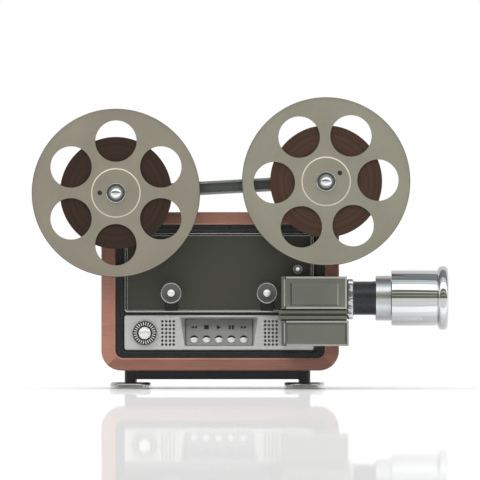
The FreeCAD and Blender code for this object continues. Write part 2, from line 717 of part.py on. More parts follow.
def gate_housing():
    """Upper housing: it holds the mirror, the gate and the claw, and carries the lens plate."""
    beam = rod_y((BEAM_X, LENS_Z), BEAM_R + 2, (CASE_Y[0] - 5, -30))
    shaft = rod_y(SHAFT_C, 2.5 + FIT, (CASE_Y[0] - 5, -30))
    light = rod_x(LENS_Y, LENS_Z, 11.0, (GATE_X[1] - 5, GATE_X[1] + 5))
    film = box((98.6, 102.4), (LENS_Y - 5, LENS_Y + 5), (GATE_Z[0] - 1, GATE_Z[1] + 1))
    shell = housing(GATE_X, GATE_Z, [beam, shaft, light, film])
    foot = box((46.0, 76.0), (CASE_Y[0], PANEL_FRONT), (GATE_Z[0] + 1, GATE_Z[1] - 3))
    return fuse(shell, cut(foot, beam, shaft))


def lower_housing():
    """Lower housing, fixed to the fascia by a low foot."""
    shell = housing(LOWER_X, LOWER_Z, [])
    foot = box((46.0, 76.0), (CASE_Y[0], FASCIA_FRONT), (LOWER_Z[0] + 3, LOWER_Z[1] - 3))
    return fuse(shell, foot)


def film_gate():
    """Aperture plate and pressure plate, with the film's slot between them."""
    y = (LENS_Y - 7, LENS_Y + 7)
    z = (GATE_Z[0] + BOX_WALL, GATE_Z[1] - BOX_WALL)
    window = box((98, 104), (LENS_Y - 2.9, LENS_Y + 2.9), (LENS_Z - 2.0, LENS_Z + 2.0))
    slot = box((98, 101), (LENS_Y - 5.6, LENS_Y - 4.0), (LENS_Z + 4, LENS_Z + 14))
    aperture = cut(box((98.8, 100.3), y, z), window, slot)
    pressure = cut(box((100.8, 102.3), y, z), window)
    return group(aperture, pressure)


def claw():
    """Pull-down claw: a follower above the cam, an arm, and one tooth in the gate's slot."""
    y = (-44.0, -42.0)
    follower = box((62.0, 80.0), y, (LENS_Z + 5.0, LENS_Z + 9.5))
    arm = box((78.0, 97.5), y, (LENS_Z + 6.0, LENS_Z + 9.5))
    reach = box((95.7, 97.5), (LENS_Y - 5.4, y[1]), (LENS_Z + 6.0, LENS_Z + 9.5))
    tooth = box((97.0, 100.2), (LENS_Y - 5.3, LENS_Y - 4.3), (LENS_Z + 7.0, LENS_Z + 8.0))
    return fuse(follower, arm, reach, tooth)


def guide_rails():
    """Two bars between the housings that guide the film to the left, joined by a web."""
    upper = box(RAIL_X, (RAIL_FRONT, CASE_Y[0]), RAIL_Z[0])
    foot = box((46.0, 76.0), (CASE_Y[0], TRIM_FRONT), (RAIL_Z[0][0] + 0.5, RAIL_Z[0][1] - 1.2))
    lower = box(RAIL_X, (RAIL_FRONT, CASE_Y[0]), RAIL_Z[1])
    lower_foot = box((46.0, 76.0), (CASE_Y[0], FASCIA_FRONT), (RAIL_Z[1][0] + 0.5, RAIL_Z[1][1] - 0.5))
    spacer_room = rod_x(LENS_Y, LENS_Z, SPACER_R + GAP, (GATE_X[1] - 1, PLATE_X[0] + 1))
    web = box(RAIL_X, RAIL_WEB_Y, (RAIL_Z[1][1] - 0.5, RAIL_Z[0][0] + 0.5))
    bars = []
    for bar, seat in ((upper, foot), (lower, lower_foot)):
        bar = bar.makeChamfer(0.5, front_edges(bar, RAIL_FRONT))
        bars += [bar, seat]
    return cut(fuse(*bars, web), spacer_room)


def lens_mount_plate():
    """Thick polished plate with rounded corners; a spacer holds it off the gate housing."""
    block = box(PLATE_X, PLATE_Y, PLATE_Z)
    corners = [e for e in block.Edges if abs(e.Vertexes[0].X - e.Vertexes[-1].X) > 1e-6]
    block = block.makeFillet(6.0, corners)
    rims = [e for e in block.Edges if e.BoundBox.XLength < 1e-4]
    block = block.makeFillet(1.6, rims)
    spacer = rod_x(LENS_Y, LENS_Z, SPACER_R, (GATE_X[1], PLATE_X[0] + 1))
    return cut(fuse(block, spacer), rod_x(LENS_Y, LENS_Z, TUBE_SPIGOT_R, (GATE_X[1] - 1, PLATE_X[1] + 1)))


def lens_tube():
    """Black fixed tube: finely ribbed outside the plate, smooth where the ring and barrel run."""
    back = PLATE_X[0] + 0.2
    steps = [(back, TUBE_BORE_R), (back, TUBE_SPIGOT_R), (PLATE_X[1], TUBE_SPIGOT_R), (PLATE_X[1], TUBE_R)]
    x = PLATE_X[1] + 1.0
    while x + RIB_PITCH < RING_X[0] - GAP - 0.6:
        steps += [(x, TUBE_R), (x + RIB_PITCH * 0.3, TUBE_R - 0.6), (x + RIB_PITCH * 0.6, TUBE_R - 0.6),
                  (x + RIB_PITCH * 0.9, TUBE_R)]
        x += RIB_PITCH
    shoulder = RING_X[0] - GAP
    steps += [(shoulder, TUBE_R), (shoulder, TUBE_STEP_R), (TUBE_END, TUBE_STEP_R), (TUBE_END, TUBE_BORE_R)]
    return turned_x(steps, LENS_Y, LENS_Z)


def focus_ring():
    """Satin ring with a fine grip of grooves."""
    bore = TUBE_STEP_R + FIT
    steps = [(RING_X[0], bore), (RING_X[0], RING_R - 0.8), (RING_X[0] + 0.8, RING_R),
             (RING_X[1] - 0.8, RING_R), (RING_X[1], RING_R - 0.8), (RING_X[1], bore)]
    return turned_x(steps, LENS_Y, LENS_Z)


def lens_barrel():
    """Polished barrel that slides on the tube, with a thick rounded front."""
    bore = TUBE_STEP_R + FIT
    seat = 24.0
    hollow = TUBE_END + 3.0
    back, neck = BARREL_X
    steps = [(back, bore), (back, BARREL_R - 1.5), (back + 0.45, BARREL_R - 0.45, back + 1.5, BARREL_R),
             (neck, BARREL_R), (neck, FRONT_R - 3.0), (neck + 0.9, FRONT_R - 0.9, neck + 3.0, FRONT_R),
             (FRONT_X - 3.5, FRONT_R), (FRONT_X - 1.0, FRONT_R - 1.0, FRONT_X, FRONT_R - 3.5),
             (FRONT_X, FRONT_R - 6.0), (FRONT_X - 2.0, seat + 1.0), (FRONT_X - 4.0, seat),
             (hollow, seat), (hollow, bore)]
    return turned_x(steps, LENS_Y, LENS_Z)


def lens_glass():
    """Front and rear elements, both held in the barrel."""
    seat = 24.0
    bulge = 3.0
    elements = []
    for back, edge in ((205.0, 5.0), (191.0, 3.0)):
        rim = back + edge
        steps = [(back, 0), (back, seat), (rim, seat), (*dome(rim, seat, bulge), rim + bulge, 0)]
        elements.append(turned_x(steps, LENS_Y, LENS_Z))
    return group(*elements)


# ---------------------------------------------------------------- mechanism
def chassis():
    """Upright plate with a foot on the bottom board; motor, shaft and lamp are fixed to it."""
    inner_x, inner_z = case_inner()
    floor = inner_z[0]
    plate = box(CHASSIS_X, CHASSIS_Y, (floor, CHASSIS_TOP))
    foot = box(CHASSIS_X, (CHASSIS_Y[0], 60.0), (floor, floor + CHASSIS_T))
    through = (CHASSIS_Y[0] - 1, CHASSIS_Y[1] + 1)
    return cut(fuse(plate, foot), rod_y(MOTOR_C, 6.0, through), rod_y(SHAFT_C, 2.5 + FIT, through),
               rod_y((BEAM_X, LENS_Z), BEAM_R + 3.5, through))


def motor():
    """Motor can on the chassis plate, with a bore for its shaft."""
    y = (CHASSIS_Y[1], 38.0)
    can = rod_y(MOTOR_C, 26.0, y)
    can = can.makeFillet(2.5, front_edges(can, y[1]))
    return can.cut(rod_y(MOTOR_C, 3.0 + FIT, y))


def motor_rotor():
    """Motor shaft with two belt grooves in front and a cooling fan behind."""
    shaft_r = 3.0
    edge = MOTOR_PULLEY_R + 1.6
    steps = [(-22.0, 0)]
    steps += [(-22.0, edge), (TAKEUP_BELT_Y - 1.6, edge), (TAKEUP_BELT_Y - 1.6, MOTOR_PULLEY_R - GAP),
              (TAKEUP_BELT_Y + 1.6, MOTOR_PULLEY_R - GAP), (TAKEUP_BELT_Y + 1.6, edge),
              (DRIVE_BELT_Y - 1.6, edge), (DRIVE_BELT_Y - 1.6, MOTOR_PULLEY_R - GAP),
              (DRIVE_BELT_Y + 1.6, MOTOR_PULLEY_R - GAP), (DRIVE_BELT_Y + 1.6, edge), (-7.0, edge)]
    steps += [(-7.0, shaft_r), (41.0, shaft_r), (41.0, 8.0), (56.0, 8.0), (56.0, 0)]
    wheel = turned_y(steps, MOTOR_C)
    blade = box((6.0, 27.0), (42.0, 55.0), (-0.7, 0.7))
    blades = []
    for i in range(12):
        tool = blade.copy()
        tool.translate(V(MOTOR_C[0], 0, MOTOR_C[1]))
        tool.rotate(V(MOTOR_C[0], 0, MOTOR_C[1]), V(0, 1, 0), 30.0 * i)
        blades.append(tool)
    return fuse(wheel, *blades)


def main_shaft():
    """Shaft with the claw's cam in front and a belt pulley behind."""
    edge = SHAFT_PULLEY_R + 1.8
    steps = [(-41.0, 0), (-41.0, 2.5), (DRIVE_BELT_Y - 2.5, 2.5), (DRIVE_BELT_Y - 2.5, edge),
             (DRIVE_BELT_Y - 1.6, edge), (DRIVE_BELT_Y - 1.6, SHAFT_PULLEY_R - GAP),
             (DRIVE_BELT_Y + 1.6, SHAFT_PULLEY_R - GAP), (DRIVE_BELT_Y + 1.6, edge),
             (DRIVE_BELT_Y + 2.5, edge), (DRIVE_BELT_Y + 2.5, 2.5),
             (CHASSIS_Y[1] - GAP, 2.5), (CHASSIS_Y[1] - GAP, 0)]
    throw = CLAW_STROKE / 2
    cam = rod_y((SHAFT_C[0], SHAFT_C[1] - throw), 2.6, (-44.2, -40.5))
    return fuse(turned_y(steps, SHAFT_C), cam)


def shutter():
    """Three-bladed shutter disc on the main shaft."""
    y = (-25.6, -24.6)
    disc = fuse(rod_y(SHAFT_C, SHUTTER_R, y), rod_y(SHAFT_C, 5.0, (-26.6, -22.0)))
    windows = []
    for i in range(3):
        sector = [SHAFT_C, polar(SHAFT_C, 30.0, 120.0 * i), polar(SHAFT_C, 30.0, 120.0 * i + 55.0)]
        windows.append(slab(sector, (y[0] - 2, y[1] + 4)))
    hub = rod_y(SHAFT_C, 8.0, (y[0] - 2, y[1] + 4))
    open_part = Part.makeCompound(windows).cut(hub)
    return cut(disc, open_part, rod_y(SHAFT_C, 2.5, (-30, -20)))


def belts():
    """Drive belt to the main shaft and take-up belt to the left spindle."""
    motor_r = MOTOR_PULLEY_R + BELT_R
    drive = belt_loop(MOTOR_C, motor_r, SHAFT_C, SHAFT_PULLEY_R + BELT_R, DRIVE_BELT_Y, BELT_R)
    takeup = belt_loop(MOTOR_C, motor_r, TAKEUP_C, TAKEUP_PULLEY_R + BELT_R, TAKEUP_BELT_Y, BELT_R)
    return group(drive, takeup)


def lamp():
    """Reflector lamp and its ceramic socket."""
    centre = (BEAM_X, LENS_Z)
    front = 8.0
    bowl = turned_y([(front, 20.0), (front, 22.0), (front + 11, 17.5, front + 19, 8.0), (front + 26, 8.0),
                     (front + 26, 0), (front + 20, 0), (front + 20, 6.5)], centre)
    bulb = turned_y([(front + 8, 0), (*dome(front + 11, 4.5, -3.0), front + 11, 4.5), (front + 20, 4.5),
                     (front + 20, 0)], centre)
    socket_y = (front + 26, front + 36)
    socket = box((BEAM_X - 10, BEAM_X + 10), socket_y, (LENS_Z - 12, LENS_Z + 12))
    stay = box((BEAM_X - 6, BEAM_X + 6), socket_y, (CASE_Z[0] + CASE_TOP + CHASSIS_T, LENS_Z - 12))
    return group(fuse(bowl, bulb), fuse(socket, stay))


def lamp_optics():
    """Condenser lens in a collar on the chassis, and the 45 degree mirror in the gate housing."""
    centre = (BEAM_X, LENS_Z)
    rims = (0.1, 1.7)
    steps = [(rims[0] - 2.6, 0), (*dome(rims[0], 8.0, -2.6), rims[0], 8.0), (rims[1], 8.0),
             (*dome(rims[1], 8.0, 2.4), rims[1] + 2.4, 0)]
    glass = turned_y(steps, centre)
    collar_y = (CHASSIS_Y[1], 5.0)
    collar = cut(rod_y(centre, 10.0, collar_y), rod_y(centre, 8.0, collar_y))
    reach = 9.0
    mirror = outline([(BEAM_X - reach, LENS_Y + reach), (BEAM_X - reach - 1.4, LENS_Y + reach - 1.4),
                      (BEAM_X + reach - 1.4, LENS_Y - reach - 1.4), (BEAM_X + reach, LENS_Y - reach)],
                     lambda x, y: V(x, y, GATE_Z[0] + BOX_WALL))
    mirror = mirror.extrude(V(0, 0, 18.0))
    return group(fuse(glass, collar), mirror)


def transformer():
    """Laminated core with its winding, on the chassis foot."""
    floor = CASE_Z[0] + CASE_TOP + CHASSIS_T
    core = box((-92.0, -44.0), (8.0, 40.0), (floor, floor + 36.0))
    winding = box((-84.0, -52.0), (2.0, 46.0), (floor + 6.0, floor + 30.0))
    return fuse(core, winding)


# ---------------------------------------------------------------- back and underside
def rear_cover():
    """Back plate with vents, the inlet's cut-out and its screw holes."""
    y = (CASE_Y[1], CASE_Y[1] + COVER_T)
    plate = round_box(COVER_X, y, COVER_Z, COVER_CORNER_R)
    through = (y[0] - 1, y[1] + 1)
    slots = []
    half = COVER_SLOT_W / 2
    for centre_x in (MOTOR_C[0], BEAM_X - 4.0):
        for i in range(COVER_SLOTS):
            x = centre_x + (i - (COVER_SLOTS - 1) / 2) * COVER_SLOT_PITCH
            slots.append(round_box((x - half, x + half), through, COVER_SLOT_Z, half - 0.05))
    screws = [rod_y(c, SCREW_R + FIT, through) for c in screw_places()]
    inlet = box((INLET_C[0] - INLET_W / 2, INLET_C[0] + INLET_W / 2), through,
                (INLET_C[1] - INLET_H / 2, INLET_C[1] + INLET_H / 2))
    return cut(plate, inlet, *(slots + screws))


def cover_screws():
    """Pan-head screws with a cross slot."""
    y = CASE_Y[1] + COVER_T
    screws = []
    for centre in screw_places():
        tip = CASE_Y[1] - SCREW_REACH
        body = turned_y([(tip, 0), (tip, SCREW_R), (y, SCREW_R), (y, SCREW_HEAD_R), (y + 0.4, SCREW_HEAD_R),
                         (*dome(y + 0.4, SCREW_HEAD_R, 0.6), y + 1.0, 0)], centre)
        x, z = centre
        cross = [box((x - long, x + long), (y + 0.5, y + 2), (z - wide, z + wide))
                 for long, wide in ((1.8, 0.35), (0.35, 1.8))]
        screws.append(cut(body, *cross))
    return group(*screws)


def mains_inlet():
    """Two-pin appliance inlet in the rear cover."""
    cx, cz = INLET_C
    back = CASE_Y[1] + COVER_T
    wide = INLET_W / 2
    high = INLET_H / 2
    body = box((cx - wide, cx + wide), (back - 16, back), (cz - high, cz + high))
    lip = box((cx - wide - INLET_LIP, cx + wide + INLET_LIP), (back, back + 0.9),
              (cz - high - INLET_LIP, cz + high + INLET_LIP))
    body = fuse(body, lip)
    recess = round_box((cx - 9, cx + 9), (back - 12, back + 2), (cz - 4.6, cz + 4.6), 4.0)
    pins = [rod_y((cx + side * INLET_PIN_PITCH / 2, cz), INLET_PIN_R, (back - 13, back - 2.5))
            for side in (-1, 1)]
    return fuse(cut(body, recess), *pins)


def foot_outline():
    """Half the section of a foot disc: a flat underside, a round edge and a slightly dished top."""
    edge = FOOT_EDGE_R
    corner = edge * (1 - math.sqrt(0.5))
    return [(0.0, 0), (0.0, FOOT_R - 0.5), (0.5, FOOT_R), (FOOT_H - edge, FOOT_R),
            (FOOT_H - corner, FOOT_R - corner, FOOT_H, FOOT_R - edge), (FOOT_H, 0)]


def underside():
    """Legs, the bars between them, and the feet."""
    legs = []
    bars = []
    feet = []
    for y in LEG_Y:
        pair = [rod_z(x, y, LEG_R, (FOOT_H, CASE_Z[0])) for x in LEG_X]
        legs += pair
        bar = box(LEG_X, (y - 4.5, y + 4.5), BAR_Z)
        bars.append(cut(bar, *pair))
        for x in LEG_X:
            feet.append(turned_z(foot_outline(), x, y))
    return {"legs": group(*legs), "base_bars": group(*bars), "feet": group(*feet)}


# ---------------------------------------------------------------- all sub-parts
def build():
    """Every node's shape by name."""
    parts = {}
    parts.update(case_boards())
    parts["front_bezel"] = front_bezel()
    parts["panel_trim"] = panel_trim()
    parts["main_panel"] = main_panel()
    parts["control_fascia"] = control_fascia()
    parts["button_plate"] = button_plate()
    for name, x in button_places():
        parts["button_" + name] = button(x)
    parts["circuit_board"] = circuit_board()
    parts["speed_dial"] = speed_dial()
    parts["dial_cap"] = dial_cap()
    parts.update(reel("takeup", TAKEUP_C, TAKEUP_TURN, True))
    parts.update(reel("supply", SUPPLY_C, SUPPLY_TURN, False))
    parts["arm_channel"] = arm_channel()
    parts["arm_strip"] = arm_strip()
    parts["arm_towers"] = arm_towers()
    parts.update(film_rollers())
    parts["gate_housing"] = gate_housing()
    parts["gate_door"] = door(GATE_X, GATE_Z, ((53.9, 103.4), (89.3, 112.3)), 1.6, 1.2)
    parts["film_gate"] = film_gate()
    parts["claw"] = claw()
    parts["guide_rails"] = guide_rails()
    parts["lower_housing"] = lower_housing()
    parts["lower_door"] = door(LOWER_X, LOWER_Z, None, 1.8, 1.0)
    parts["lens_mount_plate"] = lens_mount_plate()
    parts["lens_tube"] = lens_tube()
    parts["focus_ring"] = focus_ring()
    parts["lens_barrel"] = lens_barrel()
    parts["lens_glass"] = lens_glass()
    parts["chassis"] = chassis()
    parts["motor"] = motor()
    parts["motor_rotor"] = motor_rotor()
    parts["main_shaft"] = main_shaft()
    parts["shutter"] = shutter()
    parts["belts"] = belts()
    parts["lamp"] = lamp()
    parts["lamp_optics"] = lamp_optics()
    parts["transformer"] = transformer()
    parts["rear_cover"] = rear_cover()
    parts["cover_screws"] = cover_screws()
    parts["mains_inlet"] = mains_inlet()
    parts.update(underside())
    return parts


def main():
    os.makedirs("parts", exist_ok=True)
    parts = build()
    for name, shape in parts.items():
        if not shape.isValid():
            print("not valid:", name)
        shape.exportStep("parts/" + name + ".step")
    print(len(parts), "sub-parts")


main()
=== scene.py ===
"""Looks of a reel-to-reel film projector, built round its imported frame. Metres, unless a name says mm."""
import json
import math
import random

import bmesh
import bpy
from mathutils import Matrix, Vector


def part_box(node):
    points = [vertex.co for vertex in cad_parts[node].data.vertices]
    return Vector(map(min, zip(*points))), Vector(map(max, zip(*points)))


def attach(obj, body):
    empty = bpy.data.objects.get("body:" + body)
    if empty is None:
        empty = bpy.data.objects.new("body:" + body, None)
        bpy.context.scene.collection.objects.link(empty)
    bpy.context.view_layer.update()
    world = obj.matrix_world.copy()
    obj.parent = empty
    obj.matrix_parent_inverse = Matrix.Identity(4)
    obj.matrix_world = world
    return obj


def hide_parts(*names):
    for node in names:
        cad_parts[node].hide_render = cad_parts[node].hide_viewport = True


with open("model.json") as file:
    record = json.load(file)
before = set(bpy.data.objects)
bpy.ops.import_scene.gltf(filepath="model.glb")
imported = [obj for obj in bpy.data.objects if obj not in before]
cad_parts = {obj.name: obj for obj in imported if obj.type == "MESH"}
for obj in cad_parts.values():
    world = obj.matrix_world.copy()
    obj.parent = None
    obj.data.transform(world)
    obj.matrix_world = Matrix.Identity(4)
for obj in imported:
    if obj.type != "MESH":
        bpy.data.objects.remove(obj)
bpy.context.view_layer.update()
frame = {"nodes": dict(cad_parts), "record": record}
nodes = frame["nodes"]
MM = 0.001


# ---------------------------------------------------------------- shader sums
class Wire:
    """An output socket that can be used in sums."""

    def __init__(self, paint, socket):
        self.paint = paint
        self.socket = socket

    def other(self, output):
        """Another output of the same node."""
        return Wire(self.paint, self.socket.node.outputs[output])

    def __add__(self, other):
        return self.paint.maths("ADD", self, other)

    def __radd__(self, other):
        return self.paint.maths("ADD", other, self)

    def __sub__(self, other):
        return self.paint.maths("SUBTRACT", self, other)

    def __rsub__(self, other):
        return self.paint.maths("SUBTRACT", other, self)

    def __mul__(self, other):
        return self.paint.maths("MULTIPLY", self, other)

    def __rmul__(self, other):
        return self.paint.maths("MULTIPLY", other, self)

    def __truediv__(self, other):
        return self.paint.maths("DIVIDE", self, other)

    def __pow__(self, other):
        return self.paint.maths("POWER", self, other)


def opaque(colour):
    """A colour as a node takes it; a wire passes through."""
    return colour if isinstance(colour, Wire) else (*colour, 1.0)


def toned(colour, gain):
    """A colour lightened or darkened."""
    return tuple(min(1.0, c * gain) for c in colour)


class Paint:
    """A procedural material on Object coordinates."""

    def __init__(self, name, world=None):
        self.material = world or bpy.data.materials.new(name)
        self.material.use_nodes = True
        self.tree = self.material.node_tree
        self.tree.nodes.clear()

    def node(self, kind, settings=None, inputs=None, output=0):
        """Adds a node: settings first, then the values or links of its sockets."""
        made = self.tree.nodes.new(kind)
        for key, value in (settings or {}).items():
            if key == "stops":
                self.set_stops(made.color_ramp, value)
            else:
                setattr(made, key, value)
        for key, value in (inputs or {}).items():
            if isinstance(value, Wire):
                self.tree.links.new(value.socket, made.inputs[key])
            else:
                made.inputs[key].default_value = value
        return Wire(self, made.outputs[output])

    def maths(self, operation, *values):
        return self.node("ShaderNodeMath", {"operation": operation}, dict(enumerate(values)))

    def set_stops(self, ramp, stops):
        """Stops of a colour ramp, as (place, colour)."""
        ramp.elements.remove(ramp.elements[1])
        ramp.elements[0].position = stops[0][0]
        ramp.elements[0].color = (*stops[0][1], 1.0)
        for place, colour in stops[1:]:
            ramp.elements.new(place).color = (*colour, 1.0)

    def place(self, stretch=(1, 1, 1), centre=(0, 0, 0), turn=(0, 0, 0)):
        """Object coordinates about a centre, turned, then stretched."""
        here = self.node("ShaderNodeTexCoord", output="Object")
        moved = self.node("ShaderNodeVectorMath", {"operation": "SUBTRACT"}, {0: here, 1: centre})
        return self.node("ShaderNodeMapping", None, {"Vector": moved, "Rotation": turn, "Scale": stretch})

    def axes(self, place):
        """The three numbers of a place."""
        x = self.node("ShaderNodeSeparateXYZ", None, {0: place}, "X")
        return x, x.other("Y"), x.other("Z")

    def noise(self, place, scale, detail=3.0, rough=0.5):
        return self.node("ShaderNodeTexNoise", None,
                         {"Vector": place, "Scale": scale, "Detail": detail, "Roughness": rough}, "Fac")

    def noise_along(self, value, scale, detail=2.0):
        """Noise that changes with one number only."""
        return self.node("ShaderNodeTexNoise", {"noise_dimensions": "1D"},
                         {"W": value, "Scale": scale, "Detail": detail}, "Fac")

    def grains(self, place, scale):
        return self.node("ShaderNodeTexVoronoi", {"feature": "F1"}, {"Vector": place, "Scale": scale},
                         "Distance")

    def span(self, value, low, high, to_low=0.0, to_high=1.0):
        """Rescales a value, clamped at both ends."""
        return self.node("ShaderNodeMapRange", {"clamp": True},
                         {0: value, 1: low, 2: high, 3: to_low, 4: to_high})

    def mix(self, share, first, second):
        """Blend of two colours."""
        return self.node("ShaderNodeMix", {"data_type": "RGBA"},
                         {0: share, 6: opaque(first), 7: opaque(second)}, 2)

    def bump(self, height, depth, strength=1.0, under=None):
        """Bumps of a real depth in metres."""
        inputs = {"Strength": strength, "Distance": depth, "Height": height}
        if under:
            inputs["Normal"] = under
        return self.node("ShaderNodeBump", None, inputs)

    def coat(self, colour, rough, metal=0.0, normal=None, **more):
        """Closes the material with a Principled shader."""
        inputs = {"Base Color": opaque(colour), "Roughness": rough, "Metallic": metal}
        if normal:
            inputs["Normal"] = normal
        inputs.update({key.replace("_", " "): value for key, value in more.items()})
        shader = self.node("ShaderNodeBsdfPrincipled", None, inputs)
        self.node_out(shader)
        return self.material

    def node_out(self, shader):
        """Ends the material in a shader."""
        out = self.tree.nodes.new("ShaderNodeOutputMaterial")
        self.tree.links.new(shader.socket, out.inputs["Surface"])


# ---------------------------------------------------------------- finishes
def painted(name, colour, rough, peel=0.00002, scale=1500.0, shade=0.10, coat=0.0, uneven=0.05):
    """Sprayed metal or moulded plastic: fine orange peel and slight unevenness."""
    p = Paint(name)
    here = p.place()
    cloud = p.noise(here, 16.0, 4.0)
    grain = p.noise(here, scale, 2.0)
    tint = p.mix(p.span(cloud, 0.3, 0.7), toned(colour, 1 - shade), toned(colour, 1 + shade))
    dull = p.span(p.noise(here, 90.0, 5.0), 0.3, 0.7, rough - uneven, rough + uneven)
    return p.coat(tint, dull, 0.0, p.bump(grain, peel), Coat_Weight=coat, Coat_Roughness=0.12)


def polished(name, colour, rough=0.05, smudge=0.06):
    """Chrome with faint smudges and hairlines."""
    p = Paint(name)
    dull = p.span(p.noise(p.place(), 45.0, 6.0, 0.6), 0.45, 0.75, rough, rough + smudge)
    hair = p.noise(p.place((1, 1, 14)), 600.0, 2.0)
    return p.coat(colour, dull + hair * 0.02, 1.0, p.bump(hair, 0.000002, 0.3))


def satin(name, colour, rough=0.34, stretch=(0.04, 1, 1), metal=1.0):
    """Brushed metal; the stretch is small along the brushing."""
    p = Paint(name)
    brush = p.noise(p.place(stretch), 2600.0, 3.0, 0.7)
    cloud = p.noise(p.place(), 18.0, 3.0)
    tint = p.mix(p.span(cloud, 0.3, 0.7), toned(colour, 0.94), colour)
    dull = p.span(brush, 0.2, 0.8, rough - 0.06, rough + 0.08)
    return p.coat(tint, dull, metal, p.bump(brush, 0.000008, 0.4))


def wood(name, gain=1.0, side=False):
    """Reddish-brown veneer, its grain running across the case, and from front to back on a side board."""
    p = Paint(name)

    def laid(along, across):
        return p.place((along, along if side else across, across))

    wave = p.noise(laid(1.6, 6), 11.0, 3.0, 0.55)
    swirl = p.noise(laid(5, 90), 6.0, 5.0, 0.6)
    fibre = p.noise(laid(16, 520), 5.0, 4.0, 0.65)
    pore = p.grains(laid(30, 900), 1.0)
    bands = p.node("ShaderNodeTexWave", {"wave_type": "BANDS", "bands_direction": "Z"},
                   {"Vector": p.place((0.5, 0.5 if side else 2.0, 6)), "Scale": 26.0,
                    "Distortion": 6.0, "Detail": 3.0, "Detail Scale": 1.5}, "Fac")
    stops = ((0.0, (0.235, 0.095, 0.064)), (0.40, (0.36, 0.155, 0.108)), (0.62, (0.45, 0.205, 0.148)),
             (1.0, (0.58, 0.285, 0.215)))
    stops = [(at, toned(colour, gain)) for at, colour in stops]
    ramp = p.node("ShaderNodeValToRGB", {"stops": stops}, {0: swirl * 0.35 + bands * 0.15 + wave * 0.5})
    streaks = p.mix(p.span(fibre, 0.36, 0.60), (0.20, 0.085, 0.065), ramp)
    tint = p.mix(0.72, streaks, ramp)
    normal = p.bump(fibre * 0.6 + p.span(pore, 0.0, 0.35) * 0.4, 0.00005, 0.5)
    dull = p.span(fibre, 0.3, 0.7, 0.30, 0.42)
    return p.coat(tint, dull, 0.0, normal, Coat_Weight=0.2, Coat_Roughness=0.25)


def rings_about(p, centre, scale, detail=2.0):
    """Noise that runs in rings about an axis along Y."""
    x, _, z = p.axes(p.place(centre=centre))
    return p.noise_along((x * x + z * z) ** 0.5, scale, detail)


def reel_metal(name, centre, colour, metal, rough):
    """Sprayed disc with faint rings about its own centre and a few handling marks."""
    p = Paint(name)
    rings = rings_about(p, centre, 2500.0)
    broad = rings_about(p, centre, 60.0)
    cloud = p.noise(p.place(), 16.0, 4.0)
    scuff = p.span(p.noise(p.place((1, 1, 9)), 150.0, 6.0, 0.7), 0.62, 0.78)
    tint = p.mix(p.span(cloud * 0.7 + broad * 0.3, 0.35, 0.65), toned(colour, 0.90), toned(colour, 1.06))
    tint = p.mix(scuff * 0.25, tint, toned(colour, 1.6))
    dull = p.span(rings, 0.3, 0.7, rough - 0.05, rough + 0.06)
    return p.coat(tint, dull, metal, p.bump(rings, 0.000008, 0.4))


def wound_film(name, centre, gain=1.0):
    """Edges of many turns of film."""
    p = Paint(name)
    turns = rings_about(p, centre, 3800.0, 3.0)
    bands = rings_about(p, centre, 160.0)
    dark = toned((0.024, 0.0105, 0.0055), gain)
    light = toned((0.038, 0.018, 0.010), gain)
    worn = toned((0.050, 0.028, 0.017), gain)
    tint = p.mix(p.span(bands, 0.35, 0.65), dark, light)
    tint = p.mix(p.span(turns, 0.45, 0.8), tint, worn)
    dull = p.span(turns, 0.3, 0.7, 0.42, 0.56)
    return p.coat(tint, dull, 0.0, p.bump(turns, 0.00004, 0.5), Specular_IOR_Level=0.3)


def turned_satin(name, colour):
    """Satin metal with fine turned lines round an axis along X."""
    p = Paint(name)
    x, _, _ = p.axes(p.place())
    lines = p.noise_along(x, 1100.0)
    tint = p.mix(p.span(lines, 0.35, 0.65), toned(colour, 0.85), colour)
    dull = p.span(p.noise(p.place(), 60.0), 0.3, 0.7, 0.2, 0.3)
    return p.coat(tint, dull, 1.0, p.bump(lines, 0.00001, 0.3))


def wavy_chrome():
    """Hand-polished casting: chrome that isn't quite flat."""
    p = Paint("lens_plate")
    waves = p.noise(p.place((1, 1, 1.6)), 90.0, 2.0, 0.5)
    dull = p.span(waves, 0.3, 0.7, 0.05, 0.14)
    return p.coat((0.76, 0.78, 0.80), dull, 1.0, p.bump(waves, 0.0010, 0.45))


def clear_glass(name, colour):
    """Polished glass with a little dust."""
    p = Paint(name)
    dust = p.span(p.noise(p.place(), 80.0, 4.0), 0.5, 0.8, 0.0, 0.05)
    return p.coat(colour, dust, 0.0, None, Transmission_Weight=1.0, IOR=1.5)


def centre_of(node):
    """Middle of a node's box."""
    low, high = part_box(node)
    return (low + high) / 2


